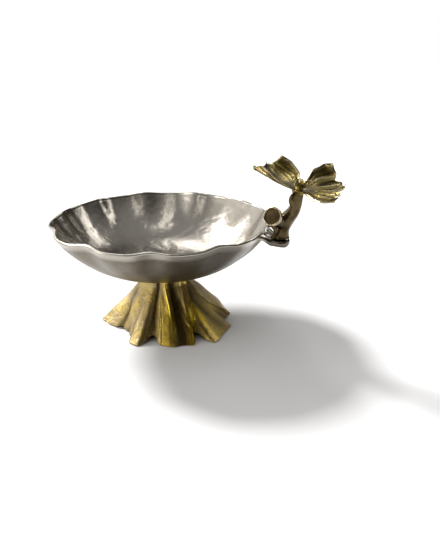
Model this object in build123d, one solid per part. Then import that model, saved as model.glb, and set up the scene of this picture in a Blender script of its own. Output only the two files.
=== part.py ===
from build123d import *
import os
from math import asin, cos, exp, pi, radians, sin, sqrt

# Footed serving bowl in cast metal: a shallow wavy-rimmed bowl on a foot cast like a
# draped leaf, with a branch and a four-petalled flower on a lug of the rim.
# Lengths in millimetres, angles in degrees. The origin is the middle of the foot where it
# stands, +Z is up and +X runs through the lug and the branch.

# Bowl
RIM_RADIUS = 110.0
RIM_HEIGHT = 110.0
SEAT_RADIUS = 24.0
SEAT_HEIGHT = 59.5
WALL = 2.6
WALL_POWER = 3.5
INNER_FLOOR_RADIUS = 26.0
SPIGOT_RADIUS = 8.0
SPIGOT_LENGTH = 8.0

# Waves of the rim: they start where the wall reaches WAVE_START and grow to the rim
WAVE_COUNT = 11
WAVE_CREST = -68.0
WAVE_START = 82.0
WAVE_FLARE = 2.5
WAVE_LIFT = 1.3
WAVE_SHARPNESS = 0.25
LUG_DIP = 3.0
LUG_DIP_SPREAD = 11.0
LUG_CALM_SPREAD = 17.0
RING_POINTS = 66

# Lug of the rim that carries the branch
LUG_TOP = 107.0
LUG_THICKNESS = 6.0
LUG_ROOT_X = 98.0
LUG_ROOT_HALF = 15.0
LUG_WAIST_X = 118.0
LUG_END_X = 133.5
LUG_END_RADIUS = 9.5
LUG_EDGE = 2.4

# Foot
SKIRT_RADIUS = 56.0
SKIRT_TOP = 46.0
NECK_RADIUS = 24.5
SKIRT_WALL = 4.8
SKIRT_POINTS = 90
CROWN_FLOOR = 46.0
ARCH_RADIUS = 7.5

# Branch and flower
STEM_TOP_RADIUS = 5.0
FLOWER_X = 140.0
FLOWER_HEIGHT = 154.0
FLOWER_TILT = 12.0
CALYX_HEIGHT = 5.0
CALYX_RADIUS = 8.0
HUB_RADIUS = 3.6
HUB_HEIGHT = 3.4
PETAL_THICKNESS = 1.8

# Fasteners: outside diameter of the thread first
FOOT_THREAD = 6.0
BRANCH_THREAD = 5.0
FLOWER_THREAD = 4.0
THREAD_GAP = 0.1
CLEARANCE = 0.5

os.makedirs("parts", exist_ok=True)


def smooth_step(value):
    value = min(1.0, max(0.0, value))
    return value * value * (3.0 - 2.0 * value)


def turn_between(angle, centre):
    """Smallest turn from centre to angle."""
    return (angle - centre + 180.0) % 360.0 - 180.0


def bump(angle, centre, half_width):
    """Rounded bump of height 1 at the centre."""
    return exp(-((turn_between(angle, centre) / half_width) ** 2))


def ring_wire(count, point_at):
    """Closed smooth curve through point_at(angle), from the back of the object round."""
    step = 360.0 / count
    points = [point_at(180.0 + step * index) for index in range(count)]
    marks = [index / count for index in range(count + 1)]
    return Wire([Edge.make_spline(points, periodic=True, parameters=marks)])


def around(radius, angle, height):
    return (radius * cos(radians(angle)), radius * sin(radians(angle)), height)


# Bowl: one lofted skin that runs up the outside, round the rim and down the inside


def wall_slope(radius):
    rise = RIM_HEIGHT - SEAT_HEIGHT
    return WALL_POWER * rise / RIM_RADIUS * (radius / RIM_RADIUS) ** (WALL_POWER - 1.0)


def wall_point(radius, depth):
    """Point of the wall's section, depth inside its outer face, as radius and height."""
    height = SEAT_HEIGHT + (RIM_HEIGHT - SEAT_HEIGHT) * (radius / RIM_RADIUS) ** WALL_POWER
    slope = wall_slope(radius)
    length = sqrt(1.0 + slope * slope)
    return radius - depth * slope / length, height + depth / length


def rim_wave(angle):
    """Height of the wave, 1 at a crest, flat beside the lug."""
    turn = radians(WAVE_COUNT * (angle - WAVE_CREST))
    wave = (cos(turn) + WAVE_SHARPNESS * cos(2.0 * turn)) / (1.0 + WAVE_SHARPNESS)
    return wave * (1.0 - bump(angle, 0.0, LUG_CALM_SPREAD))


def bowl_ring(radius, depth):
    """Ring of the bowl's skin, waved more the nearer it is to the rim."""
    base_radius, base_height = wall_point(radius, depth)
    weight = smooth_step((radius - WAVE_START) / (RIM_RADIUS - WAVE_START))

    def point_at(angle):
        wave = rim_wave(angle)
        flare = -WAVE_FLARE * wave
        lift = WAVE_LIFT * wave - LUG_DIP * bump(angle, 0.0, LUG_DIP_SPREAD)
        return around(base_radius + weight * flare, angle, base_height + weight * lift)

    return ring_wire(RING_POINTS, point_at)


def rim_ring(turn):
    """Ring on the half-round edge of the rim, turn degrees past the wall's outer face."""
    edge_radius = WALL / 2.0
    slope = wall_slope(RIM_RADIUS)
    length = sqrt(1.0 + slope * slope)
    mid_radius, mid_height = wall_point(RIM_RADIUS, edge_radius)
    along = edge_radius * sin(radians(turn))
    across = edge_radius * cos(radians(turn))
    base_radius = mid_radius + (along + across * slope) / length
    base_height = mid_height + (along * slope - across) / length

    def point_at(angle):
        wave = rim_wave(angle)
        lift = WAVE_LIFT * wave - LUG_DIP * bump(angle, 0.0, LUG_DIP_SPREAD)
        return around(base_radius - WAVE_FLARE * wave, angle, base_height + lift)

    return ring_wire(RING_POINTS, point_at)


def lug_solid():
    """Tongue beyond the rim, its root ending inside the thickness of the wall."""
    end_centre = LUG_END_X - LUG_END_RADIUS
    side = Spline(
        (LUG_ROOT_X, LUG_ROOT_HALF),
        (LUG_WAIST_X, LUG_END_RADIUS + 0.6),
        (end_centre, LUG_END_RADIUS),
        tangents=[(1.0, -0.15), (1.0, 0.0)],
    )
    end = ThreePointArc((end_centre, LUG_END_RADIUS), (LUG_END_X, 0), (end_centre, -LUG_END_RADIUS))
    root = Line((LUG_ROOT_X, -LUG_ROOT_HALF), (LUG_ROOT_X, LUG_ROOT_HALF))
    outline = make_face([side, end, mirror(side, Plane.XZ), root])
    tongue = extrude(Plane.XY.offset(LUG_TOP - LUG_THICKNESS) * outline, LUG_THICKNESS)
    soft_edges = tongue.edges().filter_by(lambda edge: edge.center().X > LUG_ROOT_X + 1.0)
    tongue = fillet(soft_edges.filter_by(GeomType.LINE, reverse=True), LUG_EDGE)
    # Middle of the wall beside the lug, as a cone through two of its points
    low = wall_point(102.0, WALL / 2.0)
    high = wall_point(109.0, WALL / 2.0)
    low_height = low[1] - LUG_DIP * smooth_step((102.0 - WAVE_START) / (RIM_RADIUS - WAVE_START))
    high_height = high[1] - LUG_DIP
    spread = (high[0] - low[0]) / (high_height - low_height)
    bottom_height, top_height = 92.0, 112.0
    bottom_radius = low[0] + (bottom_height - low_height) * spread
    top_radius = low[0] + (top_height - low_height) * spread
    plug = Cone(bottom_radius, top_radius, top_height - bottom_height)
    return tongue - Pos(0, 0, (bottom_height + top_height) / 2.0) * plug


def bowl():
    outer = [SEAT_RADIUS, 34.0, 46.0, 60.0, 74.0, 86.0, 95.0, 102.0, 107.0]
    inner = [107.0, 102.0, 95.0, 86.0, 74.0, 60.0, 44.0, INNER_FLOOR_RADIUS]
    rings = [bowl_ring(radius, 0.0) for radius in outer]
    rings += [rim_ring(turn) for turn in (0.0, 45.0, 90.0, 135.0, 180.0)]
    rings += [bowl_ring(radius, WALL) for radius in inner]
    shell = Solid.make_loft(rings)
    spigot_bottom = SEAT_HEIGHT - SPIGOT_LENGTH
    # The spigot starts inside the floor of the bowl, so the two melt into one casting
    spigot = Pos(0, 0, spigot_bottom + SPIGOT_LENGTH / 2.0 + 0.5) * Cylinder(
        SPIGOT_RADIUS, SPIGOT_LENGTH + 1.0
    )
    tapped = Pos(0, 0, spigot_bottom + 4.0) * Cylinder(FOOT_THREAD / 2.0, 10.0)
    lug = lug_solid()
    screw_hole = Pos(SCREW_X, 0, LUG_TOP - LUG_THICKNESS / 2.0) * Cylinder(
        (BRANCH_THREAD + CLEARANCE) / 2.0, LUG_THICKNESS + 2.0
    )
    sink = Pos(SCREW_X, 0, LUG_TOP - LUG_THICKNESS + SINK_DEPTH / 2.0) * Cone(
        SINK_RADIUS, BRANCH_THREAD / 2.0, SINK_DEPTH
    )
    pin_hole = Pos(PIN_X, 0, LUG_TOP) * Cylinder(PIN_RADIUS, 2.0 * PIN_DEPTH)
    return shell + spigot + lug - tapped - screw_hole - sink - pin_hole


# Foot: a hollow skirt lofted through lobed rings

# Lobes of the skirt at the floor: direction, reach past the mean skirt, half width
LOBES = [
    (-152, 11, 11),
    (-87, 14, 7),
    (-63, 10, 10),
    (-43, 13, 8),
    (-24, 24, 9),
    (8, 18, 9),
    (29, 17, 6),
    (46, 12, 9),
    (84, 15, 11),
    (113, 9, 8),
    (140, 15, 10),
    (174, 8, 11),
]
# Folds that run up the skirt: direction at the floor and at the neck, height, half width
FOLDS = [
    (-103, -98, 2.6, 8),
    (-60, -70, 3.4, 6),
    (-50, -50, -4.0, 6),
    (-39, -30, 3.6, 6),
    (0, 8, 2.4, 9),
    (62, 55, -2.4, 8),
    (128, 120, 2.6, 8),
    (-172, -165, 2.4, 9),
]
ARCHES = [(-76, 45.0), (-33, 48.0), (100, 45.0)]


def skirt_radius(angle, height):
    left = max(0.0, 1.0 - height / SKIRT_TOP)
    radius = NECK_RADIUS + (SKIRT_RADIUS - NECK_RADIUS) * left**1.05
    for centre, reach, half_width in LOBES:
        radius += reach * left**0.95 * bump(angle, centre, half_width)
    for floor_angle, neck_angle, size, half_width in FOLDS:
        centre = neck_angle + (floor_angle - neck_angle) * left
        swell = 0.35 + 0.65 * sin(pi * min(1.0, 0.25 + 0.75 * left))
        radius += size * swell * bump(angle, centre, half_width)
    return radius


def foot():
    outer_heights = (0.0, 5.0, 12.0, 20.0, 29.0, 38.0, 47.0, SEAT_HEIGHT)
    inner_heights = (-1.5, 5.0, 12.0, 20.0, 29.0, 38.0, CROWN_FLOOR)

    def outer_ring(height):
        return ring_wire(
            SKIRT_POINTS, lambda angle: around(skirt_radius(angle, height), angle, height)
        )

    def inner_ring(height):
        sample = max(0.0, height)
        return ring_wire(
            SKIRT_POINTS,
            lambda angle: around(skirt_radius(angle, sample) - SKIRT_WALL, angle, height),
        )

    body = Solid.make_loft([outer_ring(height) for height in outer_heights])
    hollow = Solid.make_loft([inner_ring(height) for height in inner_heights])
    body -= hollow
    for angle, start in ARCHES:
        tunnel = Pos(start + 25.0, 0, 0) * Rot(0, 90, 0) * Cylinder(ARCH_RADIUS, 50.0)
        body -= Rot(0, 0, angle) * Pos(0, 0, -2.0) * tunnel
    socket_depth = SPIGOT_LENGTH + 0.4
    socket = Pos(0, 0, SEAT_HEIGHT - socket_depth / 2.0) * Cylinder(
        SPIGOT_RADIUS + THREAD_GAP, socket_depth
    )
    screw_hole = Pos(0, 0, SEAT_HEIGHT - 10.0) * Cylinder((FOOT_THREAD + CLEARANCE) / 2.0, 20.0)
    return body - socket - screw_hole


# Branch: trunk, side stub and stem, one casting

SCREW_X = 123.5
SINK_RADIUS = 4.8
SINK_DEPTH = 2.8
PIN_X = 130.2
PIN_RADIUS = 1.5
PIN_DEPTH = 4.0
# Sections of the trunk and stem: x, height, half width along X, half width along Y
TRUNK_SECTIONS = [
    (125.5, 107.0, 7.4, 7.2),
    (125.7, 112.0, 6.6, 6.6),
    (127.4, 119.0, 6.7, 6.6),
    (130.8, 126.0, 6.8, 6.4),
    (135.4, 133.0, 5.9, 5.7),
    (138.0, 140.5, 5.3, 5.2),
]
STUB_ROOT = (128.5, 0.0, 119.5)
STUB_END = (121.5, -15.5, 127.0)
STUB_NORMAL = (-0.62, -0.76, 0.20)
STUB_ROOT_RADIUS = 5.6
STUB_END_RADIUS = 9.3


def flower_plane(turn=0.0, lift=0.0):
    """Plane on the top of the calyx, its X axis turned round the flower's own axis."""
    tilt = radians(FLOWER_TILT)
    normal = Vector(sin(tilt), 0, cos(tilt))
    ahead = Vector(cos(radians(turn)), sin(radians(turn)), 0)
    ahead = (ahead - normal * ahead.dot(normal)).normalized()
    origin = Vector(FLOWER_X, 0, FLOWER_HEIGHT) + normal * lift
    return Plane(origin=origin, x_dir=ahead, z_dir=normal)


def branch():
    sections = []
    for index, (x, height, half_x, half_y) in enumerate(TRUNK_SECTIONS):
        before = TRUNK_SECTIONS[max(0, index - 1)]
        after = TRUNK_SECTIONS[min(len(TRUNK_SECTIONS) - 1, index + 1)]
        run = Vector(after[0] - before[0], 0, after[1] - before[1])
        if index == 0:
            run = Vector(0, 0, 1)
        plane = Plane(origin=(x, 0, height), x_dir=(run.Z, 0, -run.X), z_dir=run)
        sections.append(plane * Ellipse(half_x, half_y))
    sections.append(flower_plane(lift=-CALYX_HEIGHT) * Circle(STEM_TOP_RADIUS))
    trunk = loft(sections)

    root = Vector(*STUB_ROOT)
    end = Vector(*STUB_END)
    normal = Vector(*STUB_NORMAL).normalized()
    run = (end - root).normalized()
    middle = root + (end - root) * 0.62
    stub = loft(
        [
            Plane(origin=root, z_dir=run) * Circle(STUB_ROOT_RADIUS),
            Plane(origin=middle, z_dir=(run + normal).normalized()) * Circle(STUB_END_RADIUS - 2.2),
            Plane(origin=end, z_dir=normal) * Circle(STUB_END_RADIUS),
        ]
    )
    sawn_face = Plane(origin=end, z_dir=normal) * Pos(0, 0, 0.4) * Cylinder(STUB_END_RADIUS - 1.3, 2.0)
    # Root spur: a small curl at the bowl side of the trunk's base
    spur = loft(
        [
            Plane(origin=(121.5, -3.0, 112.5), z_dir=(-0.6, 0, -0.8)) * Circle(2.6),
            Plane(origin=(118.9, -4.0, 110.4), z_dir=(-0.3, 0, -1.0)) * Circle(2.2),
            Plane(origin=(118.3, -4.4, LUG_TOP), z_dir=(0, 0, -1)) * Circle(2.4),
        ]
    )
    tapped = Pos(SCREW_X, 0, LUG_TOP + 4.5) * Cylinder(BRANCH_THREAD / 2.0, 9.0)
    pin_hole = Pos(PIN_X, 0, LUG_TOP) * Cylinder(PIN_RADIUS, 2.0 * PIN_DEPTH)
    flower_hole = flower_plane(lift=-CALYX_HEIGHT - 4.0) * Cylinder(FLOWER_THREAD / 2.0, 10.0)
    return trunk + stub + spur - sawn_face - tapped - pin_hole - flower_hole


# Flower: calyx, four petals round its hub, and the stamens on top


def calyx():
    profile = make_face(
        [
            Line((0, -CALYX_HEIGHT), (STEM_TOP_RADIUS, -CALYX_HEIGHT)),
            ThreePointArc(
                (STEM_TOP_RADIUS, -CALYX_HEIGHT), (6.1, -2.4), (CALYX_RADIUS, -0.6)
            ),
            Line((CALYX_RADIUS, -0.6), (CALYX_RADIUS, 0.6)),
            Line((CALYX_RADIUS, 0.6), (HUB_RADIUS, 0.0)),
            Line((HUB_RADIUS, 0.0), (HUB_RADIUS, HUB_HEIGHT)),
            Line((HUB_RADIUS, HUB_HEIGHT), (0, HUB_HEIGHT)),
            Line((0, HUB_HEIGHT), (0, -CALYX_HEIGHT)),
        ]
    )
    cup = revolve(Plane.XZ * profile, Axis.Z)
    hole = Cylinder((FLOWER_THREAD + CLEARANCE) / 2.0, 30.0)
    sink = Pos(0, 0, HUB_HEIGHT - 0.9) * Cone(FLOWER_THREAD / 2.0 + 0.25, 3.2, 1.8)
    return flower_plane().location * (cup - hole - sink)


# Petals: turn round the flower's axis, length, greatest half width, rise at the tip, curl
PETALS = {
    "petal_back_left": (153.0, 48.0, 16.0, 11.5, 3.5),
    "petal_left": (217.0, 50.0, 14.5, 14.0, 3.0),
    "petal_back_right": (66.0, 49.0, 16.5, 10.5, 4.0),
    "petal_front_right": (-22.0, 50.0, 16.0, 9.5, 4.0),
}
PETAL_START = 3.0
PETAL_ROWS = (0.0, 0.14, 0.32, 0.52, 0.7, 0.84, 0.94, 1.0)
PETAL_COLUMNS = 9
CLAW_HALF = 3.4
TIP_START = 0.8
TIP_NARROWING = 0.44
RIDGES = 2.0
RIDGE_HEIGHT = 0.7
NOTCH_DEPTH = 5.5


def petal_half_width(share, widest):
    """Half width at a share of the petal's length, narrow at the claw, drawn in at the tip."""
    half = CLAW_HALF + (widest - CLAW_HALF) * smooth_step(share / 0.66)
    return half * (1.0 - TIP_NARROWING * smooth_step((share - TIP_START) / (1.0 - TIP_START)))


def petal(turn, length, widest, rise, curl):
    """Cupped, ridged blade lofted through thin closed sections, with a notched tip."""

    def section(share):
        x = PETAL_START + (length - PETAL_START) * share
        half = petal_half_width(share, widest)
        middle = 0.2 + rise * share**1.35
        top = []
        for column in range(PETAL_COLUMNS):
            side = 2.0 * column / (PETAL_COLUMNS - 1) - 1.0
            ridges = RIDGE_HEIGHT * share * cos(2.0 * pi * RIDGES * side)
            top.append((half * side, middle + curl * share * side * side + ridges))
        upper = [Vector(x, y, z) for y, z in top]
        lower = [Vector(x, y, z - PETAL_THICKNESS) for y, z in top]
        edges = [
            Edge.make_spline(upper),
            Edge.make_line(upper[-1], lower[-1]),
            Edge.make_spline(lower[::-1]),
            Edge.make_line(lower[0], upper[0]),
        ]
        return Wire(edges)

    blade = Solid.make_loft([section(share) for share in PETAL_ROWS])
    inner_end = (length - NOTCH_DEPTH, 0.0)
    corner = (length + 0.1, 0.3 * widest)
    far_corner = (corner[0], -corner[1])
    notch = make_face(
        [
            ThreePointArc(inner_end, (length - 1.4, 0.12 * widest), corner),
            Line(corner, far_corner),
            ThreePointArc(far_corner, (length - 1.4, -0.12 * widest), inner_end),
        ]
    )
    cutter = Pos(0, 0, -5) * extrude(notch, 40.0)
    return flower_plane(turn).location * (blade - cutter)


STAMEN_COUNT = 7
STAMEN_LENGTH = 7.6
STAMEN_RADIUS = 0.8
ANTHER_RADIUS = 1.4
STAMEN_DOME_RADIUS = 5.2
STAMEN_DOME_HEIGHT = 2.4


def stamen_dome():
    """Low cap of a sphere that closes the hub."""
    ball_radius = (STAMEN_DOME_RADIUS**2 + STAMEN_DOME_HEIGHT**2) / (2.0 * STAMEN_DOME_HEIGHT)
    top_height = HUB_HEIGHT + STAMEN_DOME_HEIGHT
    half_turn = asin(STAMEN_DOME_RADIUS / ball_radius) / 2.0
    middle = (ball_radius * sin(half_turn), top_height - ball_radius * (1.0 - cos(half_turn)))
    profile = make_face(
        [
            Line((0, HUB_HEIGHT), (STAMEN_DOME_RADIUS, HUB_HEIGHT)),
            ThreePointArc((STAMEN_DOME_RADIUS, HUB_HEIGHT), middle, (0, top_height)),
            Line((0, top_height), (0, HUB_HEIGHT)),
        ]
    )
    return flower_plane().location * revolve(Plane.XZ * profile, Axis.Z)


def stamen_pin():
    """Straight pin with a ball for its anther, standing on its own origin."""
    ball_height = STAMEN_LENGTH - ANTHER_RADIUS
    neck_height = ball_height - sqrt(ANTHER_RADIUS**2 - STAMEN_RADIUS**2)
    profile = make_face(
        [
            Line((0, 0), (STAMEN_RADIUS, 0)),
            Line((STAMEN_RADIUS, 0), (STAMEN_RADIUS, neck_height)),
            ThreePointArc(
                (STAMEN_RADIUS, neck_height), (ANTHER_RADIUS, ball_height), (0, STAMEN_LENGTH)
            ),
            Line((0, STAMEN_LENGTH), (0, 0)),
        ]
    )
    return revolve(Plane.XZ * profile, Axis.Z)


def stamens(dome):
    """Ring of pins soldered to the dome, leaning outward by turns more and less."""
    pins = []
    for index in range(STAMEN_COUNT):
        lean = 0.55 if index % 2 else 0.95
        seat = Plane(origin=(2.4, 0, HUB_HEIGHT + 0.8), z_dir=(lean, 0, 1))
        turn = Rot(0, 0, 360.0 * index / STAMEN_COUNT)
        pin = flower_plane().location * turn * seat.location * stamen_pin()
        pins += (pin - dome).solids()
    return Compound(children=pins)


# Fasteners


def hex_screw(thread, length, across_flats, head_height):
    """Head below, tip up; the underside of the head is at height 0."""
    shank_radius = thread / 2.0 - THREAD_GAP
    head = extrude(RegularPolygon(across_flats / 2.0, 6, major_radius=False), -head_height)
    shank = Cylinder(shank_radius, length, align=(Align.CENTER, Align.CENTER, Align.MIN))
    return head + chamfer(shank.edges().sort_by(Axis.Z)[-1], 0.6)


def washer(outer, inner, thickness):
    """Washer whose top is at height 0."""
    return Pos(0, 0, -thickness / 2.0) * (
        Cylinder(outer / 2.0, thickness) - Cylinder(inner / 2.0, 2.0 * thickness)
    )


FOOT_WASHER_THICKNESS = 1.6
SPRING_WASHER_THICKNESS = 1.6


def foot_fasteners():
    wide = Pos(0, 0, CROWN_FLOOR) * washer(18.0, FOOT_THREAD + CLEARANCE, FOOT_WASHER_THICKNESS)
    spring_top = CROWN_FLOOR - FOOT_WASHER_THICKNESS
    split = Pos(4.5, 0, 0) * Rot(0, 0, 12) * Box(6.0, 0.8, 10.0)
    spring = Pos(0, 0, spring_top) * (
        washer(11.2, FOOT_THREAD + CLEARANCE, SPRING_WASHER_THICKNESS) - split
    )
    screw = Pos(0, 0, spring_top - SPRING_WASHER_THICKNESS) * hex_screw(FOOT_THREAD, 16.0, 10.0, 4.0)
    return {"foot_washer": wide, "foot_spring_washer": spring, "foot_screw": screw}


def branch_fasteners():
    lug_bottom = LUG_TOP - LUG_THICKNESS
    head = Pos(SCREW_X, 0, lug_bottom + SINK_DEPTH / 2.0) * Cone(
        SINK_RADIUS - THREAD_GAP, BRANCH_THREAD / 2.0 - THREAD_GAP, SINK_DEPTH
    )
    socket = Pos(SCREW_X, 0, lug_bottom) * extrude(RegularPolygon(1.5, 6, major_radius=False), 1.6)
    shank = Pos(SCREW_X, 0, lug_bottom + 7.5) * Cylinder(BRANCH_THREAD / 2.0 - THREAD_GAP, 13.0)
    pin = Pos(PIN_X, 0, LUG_TOP) * Cylinder(PIN_RADIUS - 0.02, 2.0 * PIN_DEPTH - 0.4)
    return {"branch_screw": head + shank - socket, "branch_pin": pin}


def flower_screw():
    head = Pos(0, 0, HUB_HEIGHT - 0.9) * Cone(FLOWER_THREAD / 2.0 + 0.25, 3.2, 1.8)
    shank = Pos(0, 0, HUB_HEIGHT - 1.0 - 7.0) * Cylinder(FLOWER_THREAD / 2.0 - THREAD_GAP, 14.0)
    return flower_plane().location * (head + shank)


def main():
    nodes = {
        "bowl": bowl(),
        "foot": foot(),
        "branch": branch(),
        "calyx": calyx(),
        "stamen_dome": stamen_dome(),
        "flower_screw": flower_screw(),
    }
    nodes["stamens"] = stamens(nodes["stamen_dome"])
    placed = [nodes["calyx"]]
    for name, sizes in PETALS.items():
        blade = petal(*sizes)
        # Each claw is fitted to the calyx and to the petals that are brazed on before it
        for neighbour in placed:
            blade -= neighbour
        blade = blade.solids().sort_by(SortBy.VOLUME)[-1]
        nodes[name] = blade
        placed.append(blade)
    nodes.update(foot_fasteners())
    nodes.update(branch_fasteners())
    for name, solid in nodes.items():
        export_step(solid, f"parts/{name}.step")


main()
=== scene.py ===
"""Looks of a footed cast-metal bowl with a flower branch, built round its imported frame."""

from __future__ import annotations

import logging
import math
from dataclasses import dataclass, field
from enum import Enum
from typing import Sequence

import bmesh
import bpy
from mathutils import Matrix, Vector


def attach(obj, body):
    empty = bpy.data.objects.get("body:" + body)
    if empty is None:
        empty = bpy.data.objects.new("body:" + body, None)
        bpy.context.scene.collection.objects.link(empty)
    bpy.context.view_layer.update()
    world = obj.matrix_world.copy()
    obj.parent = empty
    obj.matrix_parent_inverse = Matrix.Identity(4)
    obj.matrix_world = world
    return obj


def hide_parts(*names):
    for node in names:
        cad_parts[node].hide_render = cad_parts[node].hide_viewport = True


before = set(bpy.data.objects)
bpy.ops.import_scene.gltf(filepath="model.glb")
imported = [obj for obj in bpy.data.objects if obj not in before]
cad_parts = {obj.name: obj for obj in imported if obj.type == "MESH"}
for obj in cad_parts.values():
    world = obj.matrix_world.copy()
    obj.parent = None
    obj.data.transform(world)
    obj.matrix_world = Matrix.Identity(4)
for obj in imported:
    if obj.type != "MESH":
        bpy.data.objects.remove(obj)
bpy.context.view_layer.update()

LOG = logging.getLogger("bowl")
MM = 0.001
WELD = 0.00001
ROOT = "root"
Point = tuple[float, float, float]
Colour = tuple[float, float, float]


# Small maths shared by the castings


def around(count: int) -> list[float]:
    """Equal turns round a circle, in radians."""
    return [2.0 * math.pi * index / count for index in range(count)]


def smooth_step(value: float) -> float:
    """Ease from 0 to 1."""
    value = min(1.0, max(0.0, value))
    return value * value * (3.0 - 2.0 * value)


def ease(value: float, start: float, end: float) -> float:
    """Ease from 0 at a start to 1 at an end."""
    return smooth_step((value - start) / (end - start))


def bump(angle: float, centre: float, half_width: float, power: float = 2.0) -> float:
    """Height of a rounded bump round an axis.

    Args:
        angle: Direction asked for, in degrees.
        centre: Direction of the bump's top.
        half_width: Turn at which the bump has fallen to about a third.
        power: 2 is a soft bump and 1 a sharp crease.

    Returns:
        A height from 0 to 1.
    """
    turn = abs((angle - centre + 180.0) % 360.0 - 180.0)
    return math.exp(-((turn / half_width) ** power))


def ripple(x: float, y: float, z: float, seed: float) -> float:
    """Slow uneven waves of a hand-worked pattern.

    Args:
        x: Place, in the waves' own pitch.
        y: The same.
        z: The same.
        seed: Another number gives another pattern.

    Returns:
        A height from about -1 to 1.
    """
    first = math.sin(x * 1.3 + 1.7 * math.sin(y * 0.9 + seed) + seed)
    second = math.sin(y * 1.7 + 1.3 * math.sin(z * 1.1 - seed) + 2.1 * seed)
    third = math.sin(z * 1.5 + 1.9 * math.sin(x * 0.7 + 3.0 * seed))
    return (first + second + third) / 3.0


# Meshes


@dataclass
class MeshDraft:
    """Points and faces of a mesh while it is built, in millimetres."""

    points: list[Point] = field(default_factory=list)
    faces: list[tuple[int, ...]] = field(default_factory=list)
    marks: dict[str, list[float]] = field(default_factory=dict)

    def add_ring(self, ring: Sequence[Point], **marks: Sequence[float] | float) -> list[int]:
        """Add a row of points and their marks.

        Args:
            ring: The points.
            marks: For each named mark one value for all points, or a value for each.

        Returns:
            The points' numbers.
        """
        start = len(self.points)
        for name, values in marks.items():
            row = [values] * len(ring) if isinstance(values, float) else values
            self.marks.setdefault(name, []).extend(row)
        self.points.extend(ring)
        return list(range(start, len(self.points)))

    def bridge(self, first: Sequence[int], second: Sequence[int], closed: bool = True) -> None:
        """Join two rows of equal count with quads.

        Args:
            first: Numbers of the first row's points.
            second: Numbers of the second row's points.
            closed: Whether the rows are rings.
        """
        count = len(first)
        for index in range(count if closed else count - 1):
            after = (index + 1) % count
            self.faces.append((first[index], first[after], second[after], second[index]))

    def cap(self, ring: Sequence[int]) -> None:
        """Close a ring with a fan round its middle."""
        middle = [sum(self.points[i][axis] for i in ring) / len(ring) for axis in range(3)]
        marks = {
            name: [sum(values[i] for i in ring) / len(ring)] for name, values in self.marks.items()
        }
        centre = self.add_ring([tuple(middle)], **marks)[0]
        for index, current in enumerate(ring):
            self.faces.append((current, ring[(index + 1) % len(ring)], centre))

    def skin(self, rings: Sequence[Sequence[int]]) -> None:
        """Join rings in their order and close the first and the last."""
        for first, second in zip(rings, rings[1:]):
            self.bridge(first, second)
        self.cap(rings[0])
        self.cap(rings[-1])

    def mesh(self, name: str, sharp: float) -> bpy.types.Mesh:
        """Make the mesh, its faces turned outwards.

        Args:
            name: The mesh's name.
            sharp: Angle in degrees past which an edge shows as an edge.

        Returns:
            The new mesh, in metres.
        """
        mesh = bpy.data.meshes.new(name)
        mesh.from_pydata([tuple(c * MM for c in point) for point in self.points], [], self.faces)
        for mark, values in self.marks.items():
            mesh.attributes.new(mark, "FLOAT", "POINT").data.foreach_set("value", values)
        clean_mesh(mesh, sharp)
        return mesh

    def build(self, name: str, sharp: float) -> bpy.types.Object:
        """Make the mesh and an object for it, at the origin."""
        return place_object(self.mesh(name, sharp), name)


def place_object(data: bpy.types.ID, name: str) -> bpy.types.Object:
    """Link an object for a mesh, a light or a camera."""
    piece = bpy.data.objects.new(name, data)
    bpy.context.collection.objects.link(piece)
    return piece


def clean_mesh(mesh: bpy.types.Mesh, sharp: float) -> None:
    """Weld a mesh, turn its faces outwards and shade it smoothly.

    Args:
        mesh: The mesh, changed in place.
        sharp: Angle in degrees past which an edge shows as an edge.
    """
    work = bmesh.new()
    work.from_mesh(mesh)
    bmesh.ops.remove_doubles(work, verts=work.verts, dist=WELD)
    bmesh.ops.recalc_face_normals(work, faces=work.faces)
    work.to_mesh(mesh)
    work.free()
    mesh.polygons.foreach_set("use_smooth", [True] * len(mesh.polygons))
    mesh.set_sharp_from_angle(angle=math.radians(sharp))


def apply_modifiers(piece: bpy.types.Object) -> None:
    """Replace the piece's mesh by what its modifiers make of it, and drop them."""
    bpy.context.view_layer.update()
    graph = bpy.context.evaluated_depsgraph_get()
    mesh = bpy.data.meshes.new_from_object(piece.evaluated_get(graph))
    old = piece.data
    piece.modifiers.clear()
    piece.data = mesh
    if old.users == 0:
        bpy.data.meshes.remove(old)


def join_pieces(name: str, pieces: Sequence[bpy.types.Object], sharp: float) -> bpy.types.Object:
    """Join meshes into one object.

    Args:
        name: The new object's name.
        pieces: The objects, used up by it.
        sharp: Angle in degrees past which an edge shows as an edge.

    Returns:
        The new object.
    """
    work = bmesh.new()
    for piece in pieces:
        work.from_mesh(piece.data)
    mesh = bpy.data.meshes.new(name)
    work.to_mesh(mesh)
    work.free()
    for piece in pieces:
        bpy.data.objects.remove(piece)
    clean_mesh(mesh, sharp)
    return place_object(mesh, name)


# Node expressions


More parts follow.
